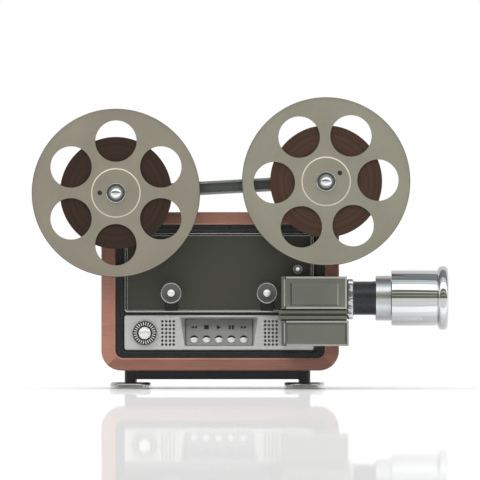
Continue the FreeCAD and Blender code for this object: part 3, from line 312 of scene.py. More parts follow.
finishes = {
    "case_wood": wood("case_wood"),
    # Painted light and shade: the left board's veneer is painted lighter, as if lit more, and the bottom
    # board's darker, as if shaded.
    "lit_left_wood": wood("lit_left_wood", 1.18, side=True),
    "right_wood": wood("right_wood", 1.0, side=True),
    "shaded_bottom_wood": wood("shaded_bottom_wood", 0.78),
    # Painted highlight for the boards' inner chamfer.
    "highlight_wood": wood("highlight_wood", 1.7),
    # Dark grey used for painted highlights on the bezel's slanted step faces, and for painted shade in the
    # spindle's end recess.
    "sheen_and_shade_black": painted("sheen_and_shade_black", (0.085, 0.098, 0.098), 0.3, 0.000003, shade=0.05),
    "black_frame": painted("black_frame", (0.007, 0.0095, 0.0095), 0.24, 0.000003, shade=0.03, uneven=0.01),
    "panel_paint": painted("panel_paint", (0.058, 0.058, 0.044), 0.36),
    "bright_trim": polished("bright_trim", (0.55, 0.56, 0.54), 0.16),
    "fascia_silver": satin("fascia_silver", (0.72, 0.72, 0.705), 0.42, metal=0.5),
    "plate_grey": satin("plate_grey", (0.27, 0.27, 0.255), 0.42, metal=0.3),
    "chrome": polished("chrome", (0.84, 0.85, 0.86)),
    "dial_metal": satin("dial_metal", (0.45, 0.45, 0.43), 0.28),
    "reel_takeup": reel_metal("reel_takeup", centre_of("takeup_flanges"), (0.312, 0.281, 0.220), 0.25, 0.42),
    "reel_supply": reel_metal("reel_supply", centre_of("supply_flanges"), (0.315, 0.300, 0.232), 0.25, 0.42),
    # Painted highlight on the hub's step ring and round the drive hole.
    "reel_highlight": satin("reel_highlight", (0.74, 0.70, 0.58), 0.3, metal=0.25),
    # Painted shade on the outer edge of the reel's bead.
    "reel_rim_shade": painted("reel_rim_shade", (0.11, 0.105, 0.085), 0.3),
    "pearl_chrome": satin("pearl_chrome", (0.92, 0.92, 0.92), 0.2, metal=0.35),
    "tick_white": painted("tick_white", (0.85, 0.85, 0.84), 0.3),
    "foot_metal": satin("foot_metal", (0.68, 0.68, 0.68), 0.2),
    "lens_plate": wavy_chrome(),
    "film_takeup": wound_film("film_takeup", centre_of("takeup_flanges")),
    "film_supply": wound_film("film_supply", centre_of("supply_flanges"), 1.7),
    "core_plastic": painted("core_plastic", (0.05, 0.048, 0.045), 0.5),
    "arm_metal": satin("arm_metal", (0.42, 0.42, 0.41), 0.28),
    # Also used as painted shade on the lower door's recess walls.
    "arm_dark": painted("arm_dark", (0.075, 0.082, 0.075), 0.4),
    "pedestal_paint": painted("pedestal_paint", (0.03, 0.032, 0.031), 0.35),
    "roller_black": painted("roller_black", (0.085, 0.085, 0.083), 0.16, coat=0.6),
    "housing_paint": painted("housing_paint", (0.142, 0.145, 0.120), 0.33),
    # Lighter housing paint used for painted highlights on the doors.
    "housing_highlight": painted("housing_highlight", (0.36, 0.36, 0.32), 0.28),
    "lens_black": painted("lens_black", (0.036, 0.039, 0.042), 0.22, 0.000002),
    "lens_satin": turned_satin("lens_satin", (0.74, 0.76, 0.77)),
    "lens_chrome": polished("lens_chrome", (0.74, 0.75, 0.77), 0.03, 0.03),
    "lens_glass": clear_glass("lens_glass", (0.85, 0.9, 0.95)),
    "dark_steel": painted("dark_steel", (0.012, 0.015, 0.016), 0.24, 0.000003, uneven=0.02),
    # Flat black: the dial's own dark ring, and painted shade in the vent holes and on a door wall.
    "recess_black": painted("recess_black", (0.01, 0.01, 0.01), 0.6),
    "symbol_ink": painted("symbol_ink", (0.006, 0.006, 0.006), 0.5),
    "zinc_steel": satin("zinc_steel", (0.5, 0.5, 0.48), 0.35),
    "belt_rubber": painted("belt_rubber", (0.015, 0.015, 0.015), 0.7),
    "lamp_glass": polished("lamp_glass", (0.8, 0.8, 0.78), 0.12),
    "optic_glass": clear_glass("optic_glass", (0.85, 0.9, 0.95)),
    "copper_winding": satin("copper_winding", (0.5, 0.2, 0.09), 0.35),
    "board_green": painted("board_green", (0.03, 0.12, 0.05), 0.35),
    "cover_paint": painted("cover_paint", (0.045, 0.047, 0.045), 0.5, 0.00008),
    "inlet_plastic": painted("inlet_plastic", (0.02, 0.02, 0.02), 0.4),
}
# Finishes of the nodes that don't simply take their slot's, each node's slot, and the body that it is on.
own_finish = {"takeup_flanges": "reel_takeup", "supply_flanges": "reel_supply", "takeup_film": "film_takeup",
              "supply_film": "film_supply"}
slot_of = {part["node"]: part["material_slot"] for part in frame["record"]["subparts"]}
body_of = {node: body for body, members in frame["record"]["behaviour"]["bodies"].items() for node in members}


def dress(piece, *names):
    """Gives a piece its finishes, the first one all over."""
    piece.data.materials.clear()
    for name in names:
        piece.data.materials.append(finishes[name])


for node, slot in slot_of.items():
    dress(nodes[node], own_finish.get(node, slot))


# ---------------------------------------------------------------- bench tools
AXES = {"X": Vector((1, 0, 0)), "Y": Vector((0, 1, 0)), "Z": Vector((0, 0, 1))}


def let_go():
    """Object mode, with nothing selected."""
    if bpy.context.mode != "OBJECT":
        bpy.ops.object.mode_set(mode="OBJECT")
    bpy.ops.object.select_all(action="DESELECT")


def take(piece):
    """Selects one piece alone."""
    let_go()
    piece.select_set(True)
    bpy.context.view_layer.objects.active = piece


def settle(piece):
    """Puts a piece's place into its mesh, so that its object ends at the origin."""
    take(piece)
    bpy.ops.object.transform_apply(location=True, rotation=True, scale=True)
    return piece


def called(name):
    """Names the active piece and its mesh."""
    piece = bpy.context.object
    piece.name = name
    piece.data.name = name
    return piece


def smooth(piece, degrees=30):
    """Smooth shading, with edges past an angle left sharp."""
    take(piece)
    bpy.ops.object.shade_smooth_by_angle(angle=math.radians(degrees))
    return piece


def clean(piece, flat=False):
    """Merges doubles and turns the faces outwards; flat also joins faces that lie in one plane."""
    take(piece)
    bpy.ops.object.mode_set(mode="EDIT")
    bpy.ops.mesh.select_all(action="SELECT")
    bpy.ops.mesh.remove_doubles(threshold=0.000002)
    if flat:
        bpy.ops.mesh.dissolve_limited(angle_limit=math.radians(0.5))
    bpy.ops.mesh.normals_make_consistent(inside=False)
    bpy.ops.object.mode_set(mode="OBJECT")
    return piece


def turned(name, centre, axis, outline, steps=96, sharp=30):
    """A turned piece. The outline is (place on the axis, radius), and centre any point on the axis, in mm."""
    side = AXES["Z"] if axis == "X" else AXES["X"]
    along = AXES[axis]
    middle = Vector(centre) * MM
    middle -= along * middle.dot(along)
    places = [middle + along * (a * MM) + side * (r * MM) for a, r in outline]
    let_go()
    bpy.ops.mesh.primitive_plane_add(size=MM, location=places[0])
    piece = called(name)
    bpy.ops.object.mode_set(mode="EDIT")
    bpy.ops.mesh.select_mode(type="VERT")
    bpy.ops.mesh.select_all(action="SELECT")
    bpy.ops.mesh.merge(type="CENTER")
    for here, there in zip(places, places[1:]):
        bpy.ops.mesh.extrude_vertices_move(TRANSFORM_OT_translate={"value": there - here})
    bpy.ops.mesh.select_all(action="SELECT")
    bpy.ops.mesh.spin(steps=steps, angle=math.tau, center=middle, axis=along)
    clean(settle(piece))
    return smooth(piece, sharp)


def arc(centre, radius, start, end, count=6):
    """Points of an arc in an outline, from one angle to another, in degrees."""
    turns = [math.radians(start + (end - start) * i / count) for i in range(count + 1)]
    return [(centre[0] + radius * math.cos(t), centre[1] + radius * math.sin(t)) for t in turns]


def dome(base, radius, height, count=8):
    """Points of a domed end, from its edge to the axis; height is negative towards the front."""
    ball = (radius ** 2 + height ** 2) / (2 * abs(height))
    reach = math.asin(min(1.0, radius / ball))
    sign = math.copysign(1, height)
    centre = base + height - sign * ball
    turns = [reach * (1 - i / count) for i in range(count + 1)]
    return [(centre + sign * ball * math.cos(turn), ball * math.sin(turn)) for turn in turns]


def ease(piece, width, segments=2, sharp=35):
    """Rounds every sharp edge a little; width is in mm."""
    smooth(piece, sharp)
    bevel = piece.modifiers.new("ease", "BEVEL")
    bevel.width = width * MM
    bevel.segments = segments
    bevel.limit_method = "ANGLE"
    bevel.angle_limit = math.radians(sharp)
    bevel.harden_normals = True
    bpy.ops.object.modifier_apply(modifier="ease")
    return piece


def carve(piece, *tools):
    """Cuts tools out of a piece and clears them away."""
    for tool in tools:
        take(piece)
        cut = piece.modifiers.new("cut", "BOOLEAN")
        cut.object = tool
        cut.solver = "EXACT"
        bpy.ops.object.modifier_apply(modifier="cut")
        bpy.data.objects.remove(tool)
    return piece


def joined(name, pieces):
    """Several pieces as one."""
    take(pieces[0])
    for piece in pieces[1:]:
        piece.select_set(True)
    if len(pieces) > 1:
        bpy.ops.object.join()
    return called(name)


def copied(piece, name):
    """A copy with its own mesh."""
    twin = bpy.data.objects.new(name, piece.data.copy())
    twin.data.name = name
    bpy.context.scene.collection.objects.link(twin)
    return twin


def moved(piece, move=(0, 0, 0), turn=0.0, axis="Y", about=(0, 0, 0)):
    """Turns a piece about an axis through a point, then moves it, in its mesh; in degrees and mm."""
    take(piece)
    bpy.ops.object.mode_set(mode="EDIT")
    bpy.ops.mesh.select_all(action="SELECT")
    if turn:
        bpy.ops.transform.rotate(value=-math.radians(turn), orient_axis=axis,
                                 center_override=Vector(about) * MM)
    bpy.ops.transform.translate(value=Vector(move) * MM)
    bpy.ops.object.mode_set(mode="OBJECT")
    return piece


def block(name, low, high, round_r=0.0, axis="Y", ease_r=0.3):
    """A block between two corners in mm, with the edges along one axis rounded."""
    low = Vector(low)
    high = Vector(high)
    let_go()
    bpy.ops.mesh.primitive_cube_add(size=1.0, location=(low + high) / 2 * MM, scale=(high - low) * MM)
    piece = settle(called(name))
    if round_r:
        bpy.ops.object.mode_set(mode="EDIT")
        bpy.ops.mesh.select_mode(type="EDGE")
        shape = bmesh.from_edit_mesh(piece.data)
        for edge in shape.edges:
            way = (edge.verts[1].co - edge.verts[0].co).normalized()
            edge.select_set(abs(way.dot(AXES[axis])) > 0.9)
        bmesh.update_edit_mesh(piece.data)
        bpy.ops.mesh.bevel(offset=round_r * MM, segments=6, affect="EDGES")
        bpy.ops.object.mode_set(mode="OBJECT")
    return ease(piece, ease_r) if ease_r else piece


def from_axis(place, centre):
    """How far a place is from an axis along Y."""
    return math.hypot(place[0] - centre[0], place[2] - centre[2])


def paint_faces(piece, finish, test):
    """Gives a second finish to the faces whose middle (mm) and normal pass a test."""
    piece.data.materials.append(finishes[finish])
    last = len(piece.data.materials) - 1
    for face in piece.data.polygons:
        if test(face.center / MM, face.normal):
            face.material_index = last


def place_piece(piece, *replaced, finish=None, body=None, slot=None):
    """Finish and body of a piece, by default those of the node that it stands for; its slot is not used."""
    if finish or not piece.data.materials or piece.data.materials[0] is None:
        dress(piece, finish or own_finish.get(replaced[0], slot_of[replaced[0]]))
    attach(piece, body or body_of[replaced[0]])
    if replaced:
        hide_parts(*replaced)
    return piece


def eased_node(node, width, segments=2):
    """A copy of a node with its edges rounded."""
    piece = copied(nodes[node], node.replace("_", "-"))
    clean(piece, flat=True)
    return ease(piece, width, segments)


# ---------------------------------------------------------------- sizes in mm
# The lens axis; reels, rollers, film gate and lens share its plane.
LENS_Y, LENS_Z = -61.2, 96.5

# Each reel's centre and its turn in degrees; the gap between its flanges, and how far their middle
# is pressed out, to which radius.
REELS = {"takeup": ((-131.2, 0.0, 207.8), 150.0), "supply": ((91.1, 0.0, 220.0), 1.4)}
FLANGE_GAP = 9.6
RAISED = 2.1
FLANGE_MIDDLE = 24.9
# Holes: how far out, and the radius. Film: inner and outer radius, and half its width.
REEL_HOLE = (54.8, 21.9)
DRIVE_HOLE = (17.0, 2.5)
FILM = (25.1, 59.2, 4.0)
BELT_Y = -18.0

# Rollers: x, z, radius of the flange, radius of the pin's head.
ROLLERS = {"guide_roller_left": (-72.8, 101.9, 11.0, 3.9), "guide_roller_right": (28.6, 101.9, 11.0, 3.9),
           "small_roller": (61.0, 127.0, 5.0, 2.2)}

DIAL = (-101.0, 0.0, 59.4)
DIAL_RIBS = 26

# The sloping plate: its lean from upright, its lower edge, and the places of keys and symbols on it.
POCKET_TILT = 25.0
POCKET_START = (0.0, -36.0, 45.9)
BUTTONS = {"rewind": -48.8, "stop": -35.6, "play": -22.4, "pause": -9.2, "forward": 4.0}
BUTTON_UP = 7.5
# How far above a key's middle its painted dark reflection begins.
KEY_REFLECTION_LINE = 0.5
SYMBOL_UP = 21.5

KNUCKLE_R = 1.6
DOOR_EDGE = 0.8
LEG_X = (-116.4, 68.6)
LEG_Y = (-14.0, 68.0)


# ---------------------------------------------------------------- reels
def polar(centre, radius, degrees):
    """A place round an axis along Y."""
    angle = math.radians(degrees)
    return centre[0] + radius * math.cos(angle), centre[1], centre[2] + radius * math.sin(angle)


def rod(name, x, y, z, radius, depth, axis="Y", vertices=64):
    """A plain rod used as a cutting tool."""
    let_go()
    turn = {"X": (0, math.pi / 2, 0), "Y": (math.pi / 2, 0, 0), "Z": (0, 0, 0)}[axis]
    bpy.ops.mesh.primitive_cylinder_add(vertices=vertices, radius=radius * MM, depth=depth * MM,
                                        location=(x * MM, y * MM, z * MM), rotation=turn)
    return settle(called(name))


def reel_side():
    """One pressed flange about the origin, its outer face at y below 0: beaded rim, raised middle, holes."""
    middle = (0, 0, 0)
    bead = arc((-0.75, 87.95), 1.05, 0, 240, 12)
    outline = [(0.0, 6.4), (0.0, 86.6), *bead, (-1.2, 86.4), (-1.2, 26.2), (-1.35, 25.9), (-1.95, 25.3),
               (-RAISED, FLANGE_MIDDLE), (-RAISED, 9.5), (-1.9, 9.2), (-1.9, 6.4), (0.0, 6.4)]
    side = turned("flange", middle, "Y", outline, 144)
    out, radius = REEL_HOLE
    holes = [rod("hole", *polar(middle, out, 60 * i), radius, 12, "Y", 96) for i in range(6)]
    out, radius = DRIVE_HOLE
    holes.append(rod("hole", *polar(middle, out, 30), radius, 12, "Y", 32))
    carve(side, joined("holes", holes))
    clean(side)
    return ease(side, 0.25, 2, 50)


def film_roll(name, centre):
    """Wound film: each turn a little proud or shy of its neighbours."""
    dice = random.Random(11)
    inner, outer, half = FILM
    turns = 68
    radii = [inner + (outer - inner) * i / turns for i in range(turns + 1)]
    front = [(LENS_Y - half + dice.uniform(0.0, 0.22), r) for r in radii]
    rear = [(LENS_Y + half - dice.uniform(0.0, 0.22), r) for r in reversed(radii)]
    return turned(name, centre, "Y", front + rear + front[:1], 120, 50)


def spindle(name, centre, pulley):
    """Spindle: domed end in a ringed collar, seat behind the reel, journal, and the take-up's belt pulley."""
    nose = LENS_Y - FLANGE_GAP / 2 - RAISED
    seat = LENS_Y + FLANGE_GAP / 2 + RAISED
    outline = [*reversed(dome(nose - 3.4, 7.1, -4.6)), (nose - 1.0, 7.1), (nose - 0.7, 7.4),
               (nose - 0.7, 9.1), (nose - 1.3, 9.4), *arc((nose - 1.3, 9.9), 0.5, 180, 90, 4),
               (nose - 0.3, 10.4), (nose, 10.1), (nose, 6.3), (seat, 6.3), (seat, 8.5), (-53.4, 8.5),
               (-53.1, 8.2), (-53.1, 4.0)]
    if pulley:
        groove = arc((BELT_Y, 9.0), 1.3, 180, 360, 6)
        outline += [(BELT_Y - 2.5, 4.0), (BELT_Y - 2.5, 10.2), (BELT_Y - 1.6, 10.2), *groove,
                    (BELT_Y + 1.6, 10.2), (BELT_Y + 2.5, 10.2), (BELT_Y + 2.5, 4.0)]
    outline += [(-12.3, 4.0), (-12.0, 3.7), (-12.0, 0)]
    piece = turned(name, centre, "Y", outline, 72)
    dress(piece, "chrome")
    # Painted shade: the ring in the end recess is painted dark grey.
    paint_faces(piece, "sheen_and_shade_black",
                lambda c, n: 7.2 < from_axis(c, centre) < 9.35 and c.y < nose and n.y < -0.3)
    return piece


def make_reels():
    """Both reels: two flanges each, their film and their spindle."""
    master = reel_side()
    for name, (centre, turn) in REELS.items():
        sides = []
        for end, outwards in (("front", 1), ("rear", -1)):
            side = copied(master, name + "_flange_" + end)
            if outwards < 0:
                moved(side, turn=180, axis="Z")
                moved(side, turn=180, axis="Y")
            moved(side, turn=-turn, axis="Y")
            moved(side, (centre[0], LENS_Y - outwards * FLANGE_GAP / 2, centre[2]))
            dress(side, own_finish[name + "_flanges"])
            drive = polar(centre, DRIVE_HOLE[0], 30 + turn)
            # Painted highlight: a light ring on the hub's step and round the drive hole.
            paint_faces(side, "reel_highlight",
                        lambda c, n: FLANGE_MIDDLE - 0.05 < from_axis(c, centre) < 26.25 and abs(n.y) > 0.2
                        or 2.5 < from_axis(c, drive) < 3.1 and abs(n.y) > 0.1)
            # Painted shade: the outermost faces of the bead are painted dark.
            paint_faces(side, "reel_rim_shade", lambda c, n: from_axis(c, centre) > 88.35)
            sides.append(side)
        place_piece(sides[0], name + "_flanges")
        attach(sides[1], body_of[name + "_flanges"])
        place_piece(film_roll(name + "_roll", centre), name + "_film")
        place_piece(spindle(name + "_shaft", centre, name == "takeup"), name + "_spindle")
    bpy.data.objects.remove(master)


# ---------------------------------------------------------------- rollers
def make_rollers():
    """Three flanged rollers with a bright lip, and their domed pins."""
    pins = []
    for name, (x, z, radius, head_r) in ROLLERS.items():
        front = LENS_Y - 6.3
        back = LENS_Y + 6.3
        bore = head_r * 0.62 + 0.05
        waist = radius - (1.6 if radius > 6 else 1.2)
        lip = 0.06 * radius
        outline = [(front + 0.7, bore), (front + 0.7, head_r * 1.15), (front + 0.35, radius - 2.2 * lip),
                   (front, radius - 1.9 * lip), (front, radius - lip),
                   *arc((front + 0.7, radius - 0.7), 0.7, 180, 90, 4), (front + 1.6, radius),
                   (front + 2.2, waist), (back - 2.2, waist), (back - 1.6, radius),
                   *arc((back - 0.7, radius - 0.7), 0.7, 90, 0, 4), (back, bore), (front + 0.7, bore)]
        roller = turned(name.replace("guide", "film"), (x, 0, z), "Y", outline, 72)
        dress(roller, "roller_black")
        paint_faces(roller, "bright_trim",
                    lambda c, n: from_axis(c, (x, 0, z)) > radius - 2.1 * lip and c.y < front + 1.2)
        place_piece(roller, name)
        head = front - 0.3
        foot_y = -29.0 if name == "small_roller" else -35.0
        outline = [*reversed(dome(head - 1.0, head_r, -2.0)), (head - 0.3, head_r), (head, head_r - 0.3),
                   (head, head_r * 0.62), (back + 0.3, head_r * 0.62), (back + 0.3, head_r), (foot_y, head_r),
                   (foot_y, 0)]
        pins.append(turned("pin", (x, 0, z), "Y", outline, 48))
    place_piece(joined("film_roller_pins", pins), "roller_pins", finish="pearl_chrome")


# ---------------------------------------------------------------- controls
def make_dial():
    """Dial with a bright rim, a dark ring of raised ribs, a gripped skirt and a domed cap."""
    front = -42.0
    seat = front + 0.8
    outline = [(-32.0, 0), (-32.0, 2.95), (-37.3, 3.0), (-37.3, 12.9), (-38.2, 13.1), (-38.6, 12.6),
               (front + 0.9, 12.6), (front + 0.3, 13.1), (front, 12.9), (front, 12.5), (front + 0.55, 12.2),
               (front + 0.55, 7.9), (front + 0.1, 7.7), (front + 0.1, 6.9), (seat, 6.5), (seat, 0)]
    dial = turned("dial_body", DIAL, "Y", outline, 96)
    dress(dial, "dial_metal")
    paint_faces(dial, "recess_black",
                lambda c, n: 6.3 < from_axis(c, DIAL) < 12.4 and c.y < front + 0.7 and n.y < -0.5)
    place_piece(dial, "speed_dial")
    rib = block("rib", (8.2, front + 0.02, -0.40), (11.7, front + 0.7, 0.40), ease_r=0.1)
    tooth = block("tooth", (12.3, -41.0, -0.42), (13.35, -38.7, 0.42), ease_r=0.15)
    pieces = []
    for i in range(DIAL_RIBS):
        for start in (rib, tooth):
            twin = moved(copied(start, "twin"), turn=360.0 * i / DIAL_RIBS, axis="Y")
            pieces.append(moved(twin, (DIAL[0], 0, DIAL[2])))
    for start in (rib, tooth):
        bpy.data.objects.remove(start)
    grip = joined("dial_ribs", pieces)
    place_piece(grip, finish="tick_white", body="dial", slot="dial_metal")
    rim = seat - 1.0
    outline = [*reversed(dome(rim, 6.0, -2.2)), (rim + 0.1, 6.3), (front + 0.7, 6.4), (seat, 0)]
    cap = turned("dial_button", DIAL, "Y", outline, 72)
    place_piece(cap, "dial_cap", finish="pearl_chrome")


def on_slope(piece):
    """Moves a piece made flat (x, up the slope, outwards) onto the sloping plate."""
    return moved(moved(piece, turn=90 - POCKET_TILT, axis="X"), POCKET_START)


def make_buttons():
    """Five domed keys, each with a waist above the plate, and the upper part of each dome painted dark as a
    painted reflection.
    """
    outline = [*reversed(dome(1.5, 3.9, 2.1)), (1.2, 4.15), (0.7, 4.3), (-3.0, 4.3), (-3.2, 4.1), (-3.2, 1.6),
               (-5.8, 1.6), (-6.0, 1.4), (-6.0, 0)]
    master = turned("key", (0, BUTTON_UP, 0), "Z", outline, 48)
    take(master)
    bpy.ops.object.mode_set(mode="EDIT")
    bpy.ops.mesh.select_all(action="SELECT")
    bpy.ops.mesh.bisect(plane_co=(0, (BUTTON_UP + KEY_REFLECTION_LINE) * MM, 0), plane_no=(0, 1, 0))
    bpy.ops.object.mode_set(mode="OBJECT")
    dress(master, "pearl_chrome")
    # Painted reflection: the upper part of the dome is painted dark.
    paint_faces(master, "dark_steel", lambda c, n: c.y > BUTTON_UP + KEY_REFLECTION_LINE and c.z > 0.2)
    on_slope(master)
    for name, x in BUTTONS.items():
        place_piece(moved(copied(master, "key_" + name), (x, 0, 0)), "button_" + name)
    bpy.data.objects.remove(master)


def make_tray():
    """Thin rounded tray, its walls and rim at the left and right ends painted dark as painted shade, laid in
    the pocket, with a hole for each key.
    """
    tray = block("key_tray", (-57.8, 0.4, 0.02), (13.7, 31.1, 0.42), 2.6, "Z", 0)
    bpy.ops.object.mode_set(mode="EDIT")
    shape = bmesh.from_edit_mesh(tray.data)
    for face in shape.faces:
        face.select_set(face.normal.z > 0.9)
    bmesh.update_edit_mesh(tray.data)
    bpy.ops.mesh.inset(thickness=0.65 * MM)
    bpy.ops.mesh.extrude_region_move(TRANSFORM_OT_translate={"value": (0, 0, -0.28 * MM)})
    bpy.ops.object.mode_set(mode="OBJECT")
    carve(tray, joined("holes", [rod("hole", x, BUTTON_UP, 0, 4.6, 4, "Z", 48) for x in BUTTONS.values()]))
    clean(tray)
    smooth(tray, 30)
    dress(tray, "plate_grey")
    # Painted shade: the walls and rim at the tray's left and right ends are painted dark.
    paint_faces(tray, "dark_steel", lambda c, n: (n.z < 0.5 or c.z > 0.3) and not -56.5 < c.x < 12.4)
    place_piece(on_slope(tray), body="case", slot="plate_grey")


def arrow(name, left, right, half, middle):
    """A flat triangle between two x places, pointing to the second."""
    let_go()
    bpy.ops.mesh.primitive_circle_add(vertices=3, radius=MM, fill_type="NGON")
    piece = called(name)
    corners = ((left, half), (left, -half), (right, 0.0))
    for vertex, (x, up) in zip(piece.data.vertices, corners):
        vertex.co = (x * MM, (middle + up) * MM, 0.12 * MM)
    bpy.ops.object.mode_set(mode="EDIT")
    bpy.ops.mesh.select_all(action="SELECT")
    bpy.ops.mesh.extrude_region_move(TRANSFORM_OT_translate={"value": (0, 0, 0.14 * MM)})
    return clean(piece)


def make_symbols():
    """The five transport marks, printed on the plate as thin raised ink."""
    up = SYMBOL_UP

    def bar(left, right):
        return block("mark", (left, up - 2.4, 0.12), (right, up + 2.4, 0.26), ease_r=0)

    marks = []
    for name, x in BUTTONS.items():
        if name == "stop":
            marks.append(bar(x - 2.45, x + 2.45))
        elif name == "play":
            marks.append(arrow("mark", x - 2.2, x + 2.4, 2.6, up))
        elif name == "pause":
            marks += [bar(x - 2.8, x - 0.5), bar(x + 0.5, x + 2.8)]
        else:
            way = 1 if name == "forward" else -1
            marks += [arrow("mark", x + way * a, x + way * b, 1.75, up) for a, b in ((-3.2, 0.0), (0.0, 3.2))]
    piece = on_slope(joined("key_symbols", marks))
    place_piece(piece, finish="symbol_ink", body="case", slot="black_frame")


def make_bezel():
    """Black stepped frame, its slanted step faces painted a lighter grey as painted highlights."""
    bezel = eased_node("front_bezel", 0.35)
    dress(bezel, "black_frame")
    # Painted highlight: the slanted step faces take a lighter grey than the black frame.
    paint_faces(bezel, "sheen_and_shade_black", lambda c, n: 0.2 < abs(n.y) < 0.97 and c.y < -31.0)
    place_piece(bezel, "front_bezel")


def make_boards():
    """Veneered boards; the inner chamfer is painted a paler wood as a painted highlight."""
    # The left and bottom boards take the lit and shaded copies of the veneer.
    woods = {"case_bottom": "shaded_bottom_wood", "case_right": "right_wood", "case_top": "case_wood",
             "case_left": "lit_left_wood"}
    for node, veneer in woods.items():
        board = eased_node(node, 0.4)
        dress(board, veneer)
        # Painted highlight: the slanted faces of the inner chamfer take the paler wood.
        paint_faces(board, "highlight_wood", lambda c, n: 0.2 < abs(n.y) < 0.97 and c.y < -35.0
                    and -135.0 < c.x < 93.0 and 29.0 < c.z < 178.0)
        place_piece(board, node)


def make_fascia():
    """Control fascia, with the walls of the vent holes painted black as painted shade."""
    piece = eased_node("control_fascia", 0.22)
    vents = ((-84.5, -68.0), (24.5, 41.0))
    dress(piece, "fascia_silver")
    # Painted shade: the walls of the vent holes are painted black.
    paint_faces(piece, "recess_black", lambda c, n: abs(n.y) < 0.97 and 45.0 < c.z < 74.0
                and any(a < c.x < b for a, b in vents))
    place_piece(piece, "control_fascia")


# ---------------------------------------------------------------- housings
def pick_front(piece, test):
    """Edit mode, with the faces that pass a test on their middle (mm) and normal selected."""
    take(piece)
    bpy.ops.object.mode_set(mode="EDIT")
    bpy.ops.mesh.select_mode(type="FACE")
    bpy.ops.mesh.select_all(action="DESELECT")
    shape = bmesh.from_edit_mesh(piece.data)
    for face in shape.faces:
        face.select_set(test(face.calc_center_median() / MM, face.normal))
    bmesh.update_edit_mesh(piece.data)


def make_door(node, name, frame_w, slope_w, drop, raised):
    """Door leaf with a rounded frame painted lighter as a painted highlight, and a sloping recess, knuckled
    and notched about its hinge.
    """
    low, high = (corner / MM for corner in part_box(node))
    front, back = low.y, high.y
    pin_x = low.x + KNUCKLE_R
    pin_y = (front + back) / 2
    leaf = block(name, (pin_x, front, low.z), (high.x, back, high.z), ease_r=0)
    pick_front(leaf, lambda c, n: n.y < -0.9)
    bpy.ops.mesh.inset(thickness=DOOR_EDGE * MM)
    bpy.ops.mesh.extrude_region_move(TRANSFORM_OT_translate={"value": (0, -0.0002, 0)})
    bpy.ops.transform.translate(value=(0, 0.0002, 0))
    bpy.ops.mesh.inset(thickness=(frame_w - DOOR_EDGE) * MM)
    bpy.ops.mesh.inset(thickness=slope_w * MM, depth=-drop * MM)
    bpy.ops.object.mode_set(mode="OBJECT")
    clean(leaf)
    outline = [(low.z, 0), (low.z, KNUCKLE_R), (high.z, KNUCKLE_R), (high.z, 0)]
    knuckle = turned("knuckle", (pin_x, pin_y, 0), "Z", outline, 40)
    parts = [leaf, knuckle]
    for part in parts:
        notches = [block("notch", (low.x - 1, front - 1, a), (pin_x + 3.1, back + 1, b), ease_r=0)
                   for a, b in ((low.z - 1, low.z + 2.5), (high.z - 2.5, high.z + 1))]
        bore = rod("bore", pin_x, pin_y, (low.z + high.z) / 2, 0.95, high.z - low.z + 4, "Z", 32)
        carve(part, *notches, bore)
        clean(part)
    if raised:
        x, z = raised
        panel = block("raised", (x[0], front + 0.15, z[0]), (x[1], front + drop + 0.3, z[1]), ease_r=0)
        pick_front(panel, lambda c, n: n.y > 0.9)
        spread = (1 + 2.6 / (x[1] - x[0]), 1, 1 + 1.8 / (z[1] - z[0]))
        middle = Vector((x[0] + x[1], 2 * front, z[0] + z[1])) * MM / 2
        bpy.ops.transform.resize(value=spread, center_override=middle)
        bpy.ops.object.mode_set(mode="OBJECT")
        parts.append(ease(panel, 0.25))
    door = smooth(joined(name, parts), 30)
    dress(door, "housing_paint")
    left = low.x + KNUCKLE_R
    rim = frame_w - 0.1

    def on_frame(c, n):
        in_ring = (left + 0.6 < c.x < left + frame_w - 0.2 or c.x > high.x - rim
                   or not low.z + rim < c.z < high.z - rim)
        return in_ring and n.y < -0.15 and c.y < front + 0.9

    # Painted highlight: the front faces of the frame ring take the lighter paint.
    paint_faces(door, "housing_highlight", on_frame)
    return door


def make_doors():
    """Both doors, with frames painted lighter as painted highlights; on the gate door the raised panel's left
    wall is painted shade and its right wall a painted highlight, and on the lower door the recess walls are
    painted shade except at the bottom.
    """
    door = make_door("gate_door", "gate_door_leaf", 2.0, 1.2, 1.1, ((54.4, 102.9), (89.8, 111.8)))
    # Painted shade on the raised panel's left wall, painted highlight on its right wall.
    paint_faces(door, "recess_black", lambda c, n: n.x < -0.3 and 52.0 < c.x < 56.0 and n.y < -0.05)
    paint_faces(door, "housing_highlight", lambda c, n: n.x > 0.3 and 101.0 < c.x < 105.0 and n.y < -0.05)
    place_piece(door, "gate_door")
    door = make_door("lower_door", "lower_door_leaf", 1.8, 2.2, 1.0, None)
    low, high = (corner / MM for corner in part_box("lower_door"))
    # Painted shade: the recess walls at the top and sides are painted dark, the bottom wall left plain.
    paint_faces(door, "arm_dark",
                lambda c, n: -0.97 < n.y < -0.05 and low.y + 0.1 < c.y < low.y + 0.9 and n.z < 0.3
                and low.z + 1.8 < c.z < high.z - 1.8)
    place_piece(door, "lower_door")


# ---------------------------------------------------------------- lens
def grooves(start, end, pitch, groove):
    """A groove's points, as (place along, radius), repeated at a pitch."""
    points = []
    while start < end:
        points += [(start + along, radius) for along, radius in groove]
        start += pitch
    return points


